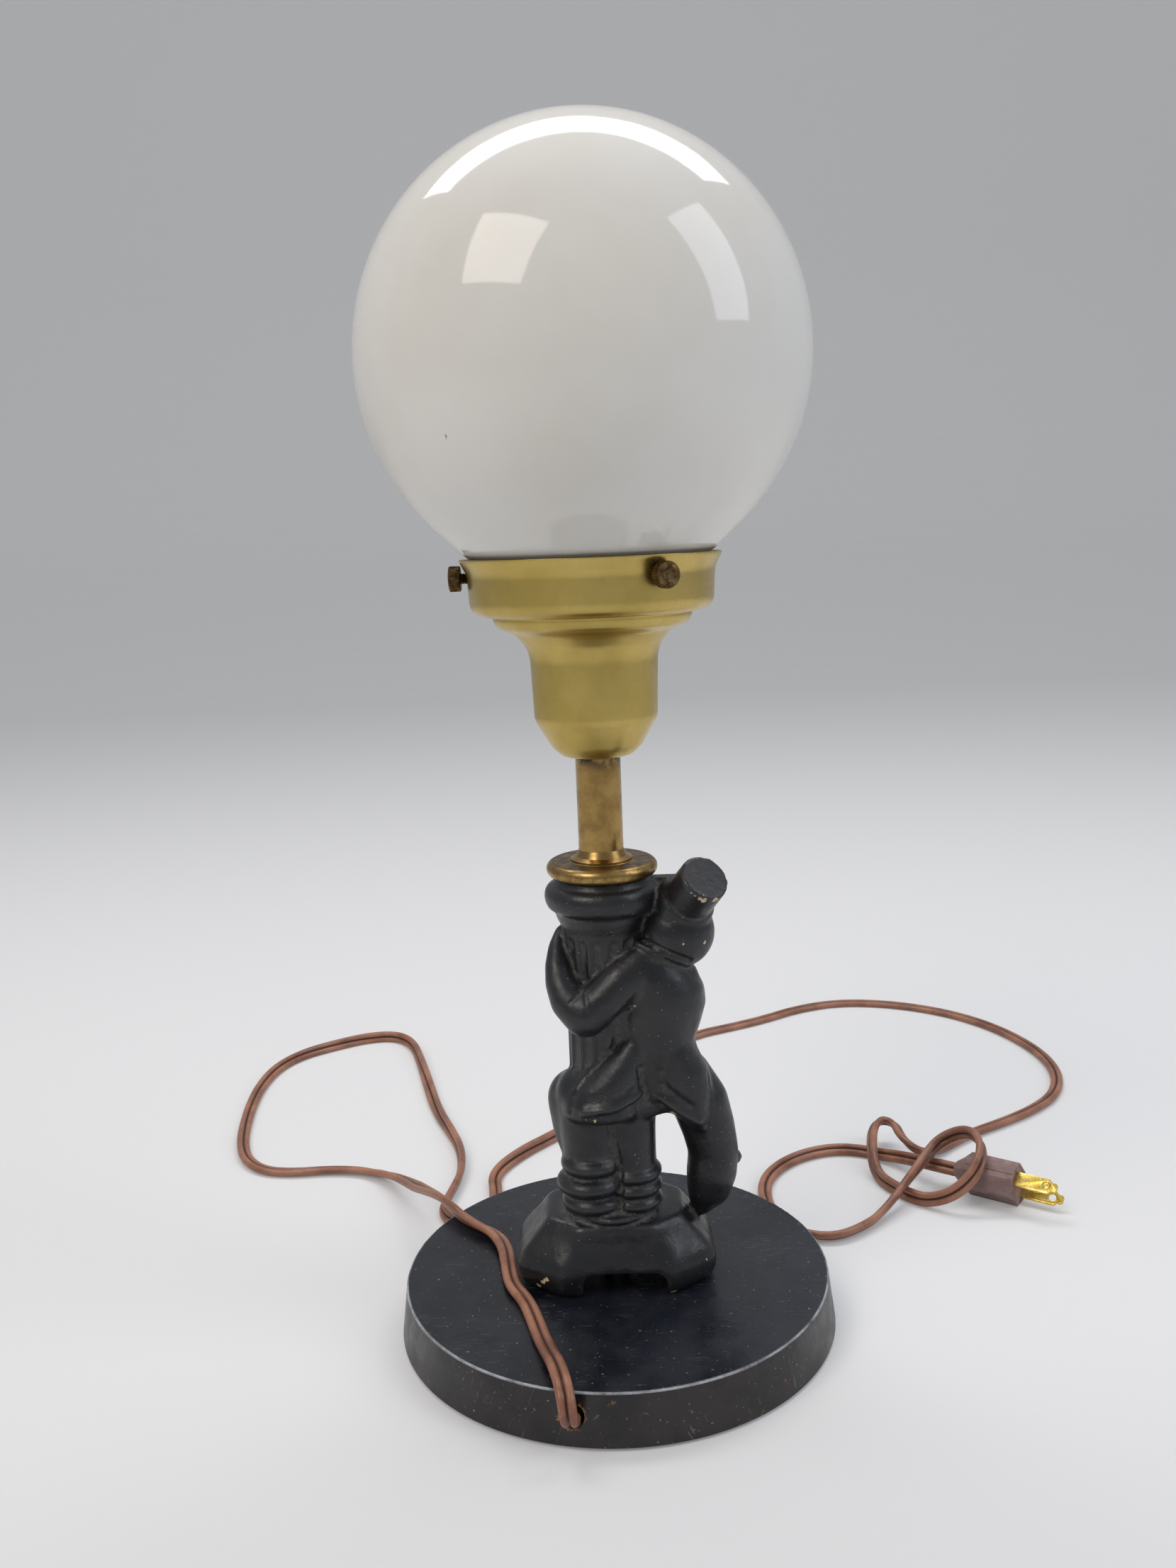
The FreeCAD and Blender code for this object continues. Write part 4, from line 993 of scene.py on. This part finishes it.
def glazeLook():
    # satin black enamel brushed over slip-cast clay: soft sheen, dust in the hollows, rubbed
    # grey on the ridges, cream clay where it is chipped
    look, tree, surface, _, mask = started("satinBlackOverClay", {
        "cloud": (22.0, 4, 0.55, 0.4, 0.6), "fine": (1.6, 4, 0.6, 0.35, 0.65),
        "brown": (30.0, 3, 0.5, 0.6, 0.75), "specks": (0.8, 1, 0.5, 0.765, 0.78),
        "handled": (7.0, 4, 0.55, 0.4, 0.6), "skin": (2.6, 3, 0.55, 0.4, 0.6)})
    hollow = add(tree, "Attribute", "Fac", attribute_name="hollow")
    worn = add(tree, "Attribute", "Fac", attribute_name="worn")
    deep = add(tree, "MapRange", Value=hollow, From_Min=0.02, From_Max=0.16)
    dust = add(tree, "Math", operation="MULTIPLY", in0=deep, in1=mask["fine"])
    rubbed = add(tree, "MapRange", Value=hollow, From_Min=-0.06, From_Max=-0.2)
    jagged = add(tree, "Math", operation="MULTIPLY_ADD", in0=mask["fine"], in1=0.45, in2=worn)
    bare = add(tree, "MapRange", Value=jagged, From_Min=0.72, From_Max=0.76)
    clay = painted(tree, "#b79c6c", [(mask["fine"], 1, "#e6d5ad")])
    body = painted(tree, "#17181b", [
        (mask["cloud"], 1, "#212225"), (mask["brown"], 0.35, "#2b1a14"), (dust, 0.5, "#6f6d68"),
        (rubbed, 0.3, "#44464a"), (mask["specks"], 1, "#8d8b86"), (bare, 1, clay)])
    dressed(surface, body, (0.3, (mask["handled"], 0.12), (dust, 0.25), (bare, 0.3)),
            (mask["skin"], (mask["fine"], 0.35), (bare, -1.5)), 0.35, 0.12)
    return look


figure = figureCasting()
print("figure casting vertices", len(figure.data.vertices))
hollowness(figure)
chipped(figure)
finished(figure, "lamp", glazeLook(), ["figure_casting"], 60)
print("figure casting made")


# heights and radii of the base disc's worn places and of its painted rim highlight
baseWearAndRimHighlight = {"paintTop": (18.9, 19.25), "rimOut": (77.75, 78.1), "rimUp": (18.6, 18.85),
            "holeEdge": (6.1, 5.5), "holeRagged": 2.2}


def baseLook():
    # semi-gloss black paint on a turned disc: navy cast, fine scratches, and a painted highlight
    # along the top edge of the rim
    look, tree, surface, where, mask = started("scuffedBlackPaint", {
        "cloud": (45.0, 5, 0.55, 0.4, 0.6), "sideCloud": (14.0, 5, 0.55, 0.4, 0.6),
        "patchy": (16.0, 3, 0.5, 0.45, 0.6), "specks": (1.2, 1, 0.5, 0.73, 0.76),
        "scuffs": (6.0, 5, 0.7, 0.64, 0.7), "ragged": (1.5, 4, 0.6, 0.3, 0.7),
        "grain": (1.0, 4, 0.6, 0.3, 0.7), "rimHighlightBreaks": (10.0, 4, 0.6, 0.3, 0.55),
        "handled": (12.0, 4, 0.55, 0.4, 0.6), "skin": (3.0, 3, 0.55, 0.4, 0.6),
        # the scratches are clouds drawn out into long thin streaks at three angles
        "scratch0": (9.0, 2, 0.4, 0.705, 0.725, 0.35, (1, 30, 1)),
        "scratch1": (9.0, 2, 0.4, 0.715, 0.735, 1.25, (1, 38, 1)),
        "scratch2": (9.0, 2, 0.4, 0.705, 0.725, 2.3, (1, 26, 1))})
    height = add(tree, "SeparateXYZ", 2, Vector=where)
    level = add(tree, "VectorMath", operation="MULTIPLY", in0=where, in1=(1, 1, 0))
    radius = add(tree, "VectorMath", "Value", operation="LENGTH", in0=level)
    hole = add(tree, "VectorMath", "Value", operation="DISTANCE", in0=where,
               in1=place(*cordForm["exit"])[:])
    hole = add(tree, "Math", operation="MULTIPLY_ADD", in0=mask["ragged"],
               in1=baseWearAndRimHighlight["holeRagged"] * mm, in2=hole)
    edge = {}
    for key, value in (("paintTop", height), ("rimOut", radius), ("rimUp", height),
                       ("holeEdge", hole)):
        low, high = baseWearAndRimHighlight[key]
        edge[key] = add(tree, "MapRange", Value=value, From_Min=low * mm, From_Max=high * mm)
    # painted highlight: a pale band along the rim's top outer edge, broken up by a cloud
    rim = add(tree, "Math", operation="MULTIPLY", in0=edge["rimOut"], in1=edge["rimUp"])
    rim = add(tree, "Math", operation="MULTIPLY", in0=rim, in1=mask["rimHighlightBreaks"])
    scratches = 0.0
    for key in ("scratch0", "scratch1", "scratch2"):
        scratches = add(tree, "Math", operation="MAXIMUM", in0=scratches, in1=mask[key])
    scratches = add(tree, "Math", operation="MULTIPLY", in0=scratches, in1=mask["patchy"])
    # tan scuffs low on the side, where the paint has gone
    side = add(tree, "Math", operation="SUBTRACT", in0=1.0, in1=edge["paintTop"])
    scuff = add(tree, "Math", operation="MULTIPLY", in0=mask["scuffs"], in1=side)
    # bare ochre wood with a rough edge round the cord's hole
    wood = painted(tree, "#6e4a22", [(mask["grain"], 1, "#b98a4c")])
    top = painted(tree, "#14161d", [(mask["cloud"], 1, "#20232c")])
    body = painted(tree, "#161213", [
        (mask["sideCloud"], 1, "#262020"), (edge["paintTop"], 1, top),
        (scratches, 0.4, "#9498a0"), (mask["specks"], 0.7, "#8f8a82"), (scuff, 0.7, "#8a6a45"),
        (edge["holeEdge"], 1, wood), (rim, 1, "#a9abb0")])
    dressed(surface, body, (0.24, (mask["handled"], 0.16), (scuff, 0.3)),
            (mask["skin"], (scratches, -0.6)), 0.2, 0.08)
    return look


def feltLook():
    # pressed felt: matt, dark, matted fibres with a soft nap; they are drawn 0.7 mm wide,
    # coarser than the real ones, so that they show
    look, tree, surface, where, _ = started("pressedDarkFelt", {}, Sheen_Weight=0.4,
                                            Sheen_Roughness=0.5)
    fibre = add(tree, "TexVoronoi", feature="F1", Vector=where, Scale=1 / mm / 0.7)
    dressed(surface, painted(tree, "#1b1714", [(fibre, 1, "#4a4138")]), (0.95,), (fibre,), 0.6, 0.2)
    return look


def metalLook(name, bright, dull, rough, patch, peel=1.0, brushed=(), stainAndShadow=()):
    # bright and dull are the clean and the aged metal, patch the aged places' width, peel the
    # width of the skin's waves; a dark mark lies where the height, or how far the surface faces
    # up, is between two values: a painted shadow on the tube, a stain on the cap
    clouds = {"aged": (patch, 5, 0.6, 0.4, 0.62), "specks": (1.3, 4, 0.65, 0.56, 0.7),
              "peel": (peel, 3, 0.5, 0.3, 0.7, *brushed)}
    if stainAndShadow:
        clouds["stainAndShadow"] = stainAndShadow["cloud"]
    look, tree, surface, where, mask = started(name, clouds, Metallic=1.0)
    layers = [(mask["aged"], 1, dull), (mask["specks"], 0.4, dull)]
    if stainAndShadow:
        vector = where if stainAndShadow["by"] == "height" else add(tree, "NewGeometry", "Normal")
        part = add(tree, "MapRange", Value=add(tree, "SeparateXYZ", 2, Vector=vector),
                   From_Min=stainAndShadow["low"], From_Max=stainAndShadow["high"])
        part = add(tree, "Math", operation="MULTIPLY", in0=part, in1=mask["stainAndShadow"])
        layers.append((part, 1, stainAndShadow["colour"]))
    dressed(surface, painted(tree, bright, layers),
            (rough, (mask["aged"], 0.12), (mask["specks"], 0.08)), (mask["peel"],), 0.18, 0.03)
    return look


looks = {
    # satin gold lacquer over spun brass: warm, even, hazy highlights
    "holder": metalLook("satinGoldLacquer", "#c5ad68", "#b59e58", 0.25, 40.0, peel=1.6),
    # unlacquered brass tube: polished once, now mottled, with a painted near-black shadow under the
    # holder
    "tube": metalLook("agedBrassTube", "#a98c54", "#937648", 0.2, 7.0, peel=0.7, stainAndShadow={
        "by": "height", "low": 208.5 * mm, "high": 213.5 * mm,
        "cloud": (5.0, 4, 0.6, 0.35, 0.55), "colour": "#2c2e33"}),
    # antique brass check ring: satin, browned by dust and hands where it faces up
    "cap": metalLook("antiqueBrass", "#a88c58", "#84693f", 0.3, 3.0, stainAndShadow={
        "by": "facing", "low": 0.8, "high": 0.97,
        "cloud": (4.0, 5, 0.65, 0.25, 0.6), "colour": "#584630"}),
    # bare brass thumb screws: dull, nearly brown
    "screw": metalLook("tarnishedBrass", "#7d6644", "#44341f", 0.4, 2.5),
    # bright zinc plate on steel: pale grey, slightly cloudy
    "zinc": metalLook("zincPlatedSteel", "#b9bcc0", "#8c8f93", 0.32, 6.0),
    # drawn brass shell: clean yellow, with fine lines round it from the die
    "socket": metalLook("drawnBrassShell", "#cdb06c", "#a98c4c", 0.25, 12.0,
                        brushed=(0, (1, 1, 8))),
    # rolled aluminium: pale, even, soft sheen
    "bulbCap": metalLook("rolledAluminium", "#d3d4d6", "#b0b2b5", 0.3, 8.0),
    # lead-tin solder: dull grey, blotched
    "solder": metalLook("dullSolder", "#a3a5a9", "#74767a", 0.45, 3.0),
    # turned brass screws: bright yellow with worn heads
    "terminal": metalLook("turnedBrassScrew", "#cfae60", "#9d8045", 0.3, 2.0),
}


def opalLook():
    # flashed opal glass: milky through its depth, fire-polished outside
    look, tree, surface, where, mask = started("opalGlass", {
        "cloud": (60.0, 3, 0.55, 0.4, 0.6), "ragged": (1.2, 3, 0.6, 0.3, 0.7),
        "waves": (40.0, 2, 0.55, 0.4, 0.6)}, IOR=1.52, Subsurface_Weight=0.35,
        Subsurface_Radius=(1.0, 0.9, 0.8), Subsurface_Scale=6 * mm)
    # one small brown speck low on the left
    spot = add(tree, "VectorMath", "Value", operation="DISTANCE", in0=where,
               in1=place(-41.7, -57.2, 320.5)[:])
    spot = add(tree, "Math", operation="MULTIPLY_ADD", in0=mask["ragged"], in1=1.1 * mm, in2=spot)
    speck = add(tree, "MapRange", Value=spot, From_Min=1.2 * mm, From_Max=0.9 * mm)
    body = painted(tree, "#efeae0", [(mask["cloud"], 1, "#f4f0e8"), (speck, 0.75, "#7a5232")])
    dressed(surface, body, (0.07,), (mask["waves"],), 0.08, 0.5)
    return look


# inside-frosted lamp glass: pale, see-through but blurred
bulbGlass = plainLook("frostedLampGlass", "#f0eee9", "#f7f6f3", (20.0, 3),
                      (0.8, 2, 0.55, 0.4, 0.6), (0.2, 0.03), 0.45, IOR=1.5,
                      Transmission_Weight=0.7)
# pressed fibre sleeve: tan, matt, papery
fibreSleeve = plainLook("pressedFibreSleeve", "#6b5238", "#83684a", (4.0, 4),
                        (0.8, 3, 0.55, 0.4, 0.6), (0.3, 0.06), 0.75)
# moulded phenolic: brown-black with a moulded gloss
phenolic = plainLook("mouldedPhenolic", "#14100d", "#231a14", (6.0, 4),
                     (2.0, 3, 0.55, 0.4, 0.6), (0.3, 0.06), 0.28)

nodeLooks = {
    feltLook(): ["felt_pad"], baseLook(): ["base_disc"], opalLook(): ["glass_globe"],
    looks["cap"]: ["vase_cap"], looks["tube"]: ["neck_tube"],
    looks["zinc"]: ["threaded_rod", "base_washer", "base_hex_nut", "lock_washer",
                    "holder_locknut"],
    looks["socket"]: ["socket_cap", "socket_shell", "socket_screw_shell",
                      "socket_centre_contact"],
    looks["terminal"]: ["terminal_screws"], looks["bulbCap"]: ["bulb_cap"],
    looks["solder"]: ["bulb_contact"], bulbGlass: ["bulb_glass"], cordVinyl: ["cord_inside"],
    fibreSleeve: ["socket_liner"], phenolic: ["socket_body"],
}
for look, names in nodeLooks.items():
    for name in names:
        nodes[name].data.materials.clear()
        nodes[name].data.materials.append(look)
print("CAD nodes dressed")


screwAngles = {"left": 180, "front": 300, "back": 60}
holderForm = {
    # radius, height and how far each corner is rounded; outside upward, then inside downward
    "outside": [(5.4, 214.0, 0), (12.0, 214.0, 1.8), (15.6, 217.2, 1.8), (21.5, 227.4, 1.5),
                (22.2, 249.0, 2.0), (23.3, 252.8, 2.0), (27.2, 257.4, 1.8), (29.4, 258.3, 0.7),
                (32.9, 259.6, 1.5), (34.3, 262.0, 0.9), (34.4, 263.7, 0.5), (38.8, 263.8, 2.2),
                (41.9, 266.3, 2.4), (42.5, 278.0, 1.6), (44.7, 282.2, 0.8), (44.9, 283.2, 0.3)],
    "inside": [(44.0, 283.2, 0.3), (41.7, 277.8, 1.4), (41.1, 266.9, 2.0), (38.6, 264.7, 1.6),
               (33.5, 264.7, 0.5), (33.2, 262.4, 0.8), (29.2, 259.2, 0.8), (26.8, 258.3, 1.2),
               (22.5, 253.1, 1.8), (21.4, 249.0, 1.8), (20.7, 227.8, 1.5), (15.1, 218.2, 1.6),
               (11.7, 214.8, 1.6), (5.4, 214.8, 0), (5.4, 214.0, 0)],
    "screwHole": 2.2, "screwHeight": 276.8, "rimRadius": 43, "drillLength": 12,
    "corner": 0.48, "cornerSteps": 5,
}


def filleted(profile):
    # each rounded corner is a short Bezier curve, never longer than its sides allow
    line, steps = [], holderForm["cornerSteps"]
    for index, (radius, height, fillet) in enumerate(profile):
        at = Vector((radius, height))
        if not fillet:
            line.append(at[:])
            continue
        before = Vector(profile[index - 1][:2]) - at
        after = Vector(profile[index + 1][:2]) - at
        start = at + before * min(holderForm["corner"], fillet / before.length)
        end = at + after * min(holderForm["corner"], fillet / after.length)
        for share in (k / steps for k in range(steps + 1)):
            line.append((start * (1 - share) ** 2 + at * 2 * share * (1 - share)
                         + end * share ** 2)[:])
    return line


def globeHolder():
    form = holderForm
    holder = lathe("globeHolder", filleted(form["outside"] + form["inside"]), 128)
    for angle in screwAngles.values():
        way = spoke(angle)
        deselect()
        bpy.ops.mesh.primitive_cylinder_add(
            vertices=32, radius=form["screwHole"] * mm, depth=form["drillLength"] * mm,
            location=way * form["rimRadius"] * mm + place(0, 0, form["screwHeight"]),
            rotation=facing(way).to_euler())
        drilled(holder, settle(bpy.context.object))
    return holder


finished(globeHolder(), "lamp", looks["holder"], ["globe_holder"], 40)
print("globe holder made")


screwForm = {
    "height": 276.8, "headStart": 44.9, "headLength": 3.4, "headRadius": 4.35, "ridges": 30,
    "ridgeDepth": 0.28, "shankRadius": 1.9, "threadDepth": 0.32, "pitch": 0.8, "tip": 38.4,
    "tipRadius": 1.3, "crest": 0.05, "lead": 0.4, "overlap": 0.3,
    # the head's end from its edge inwards: how far in and how far up each inset goes
    "edge": (0.35, 0.3), "dish": [(0.95, 0.25), (0.45, -0.385), (0.9, -0.165)],
}


def selectFaces(obj, wanted):
    # ends in edit mode with only the wanted faces selected
    bpy.ops.object.mode_set(mode="EDIT")
    bpy.ops.mesh.select_mode(type="FACE")
    bpy.ops.mesh.select_all(action="DESELECT")
    bpy.ops.object.mode_set(mode="OBJECT")
    for face in obj.data.polygons:
        face.select = wanted(face)
    bpy.ops.object.mode_set(mode="EDIT")


def screwHead(name):
    form = screwForm
    length = form["headLength"] * mm
    deselect()
    bpy.ops.mesh.primitive_cylinder_add(
        vertices=form["ridges"] * 2, radius=form["headRadius"] * mm, depth=length,
        location=(0, 0, length / 2))
    head = settle(newest(name))
    for vertex in head.data.vertices:
        turn = math.atan2(vertex.co.y, vertex.co.x) / (2 * math.pi) * form["ridges"] * 2
        if round(turn) % 2:
            share = 1 - form["ridgeDepth"] / form["headRadius"]
            vertex.co.x, vertex.co.y = vertex.co.x * share, vertex.co.y * share
    selectFaces(head, lambda face: abs(face.normal.z) > 0.9)
    bpy.ops.mesh.inset(thickness=form["edge"][0] * mm, depth=form["edge"][1] * mm)
    bpy.ops.object.mode_set(mode="OBJECT")
    # a raised ring round a dished middle
    selectFaces(head, lambda face: face.normal.z > 0.9 and face.center.z > length)
    for thickness, depth in form["dish"]:
        bpy.ops.mesh.inset(thickness=thickness * mm, depth=depth * mm)
    bpy.ops.object.mode_set(mode="OBJECT")
    return head


def thumbScrew(name, angle):
    form = screwForm
    reach = form["headStart"] - form["tip"]
    height = form["lead"] - reach
    thread = [(0, -reach), (form["tipRadius"], -reach)]
    while height < form["overlap"]:
        thread.append((form["shankRadius"] + form["crest"], height))
        thread.append((form["shankRadius"] - form["threadDepth"], height + form["pitch"] / 2))
        height += form["pitch"]
    thread.append((0, height))
    screw = joined(name, [screwHead(name), lathe(name + "Shank", thread, 32)])
    way = spoke(angle)
    screw.matrix_world = (Matrix.Translation(way * form["headStart"] * mm
                                             + place(0, 0, form["height"]))
                          @ facing(way).to_matrix().to_4x4())
    return settle(screw)


for side, angle in screwAngles.items():
    finished(thumbScrew(side + "ThumbScrew", angle), "thumb_screw_" + side,
             looks["screw"], ["thumb_screw_" + side], 30)
print("thumb screws made")
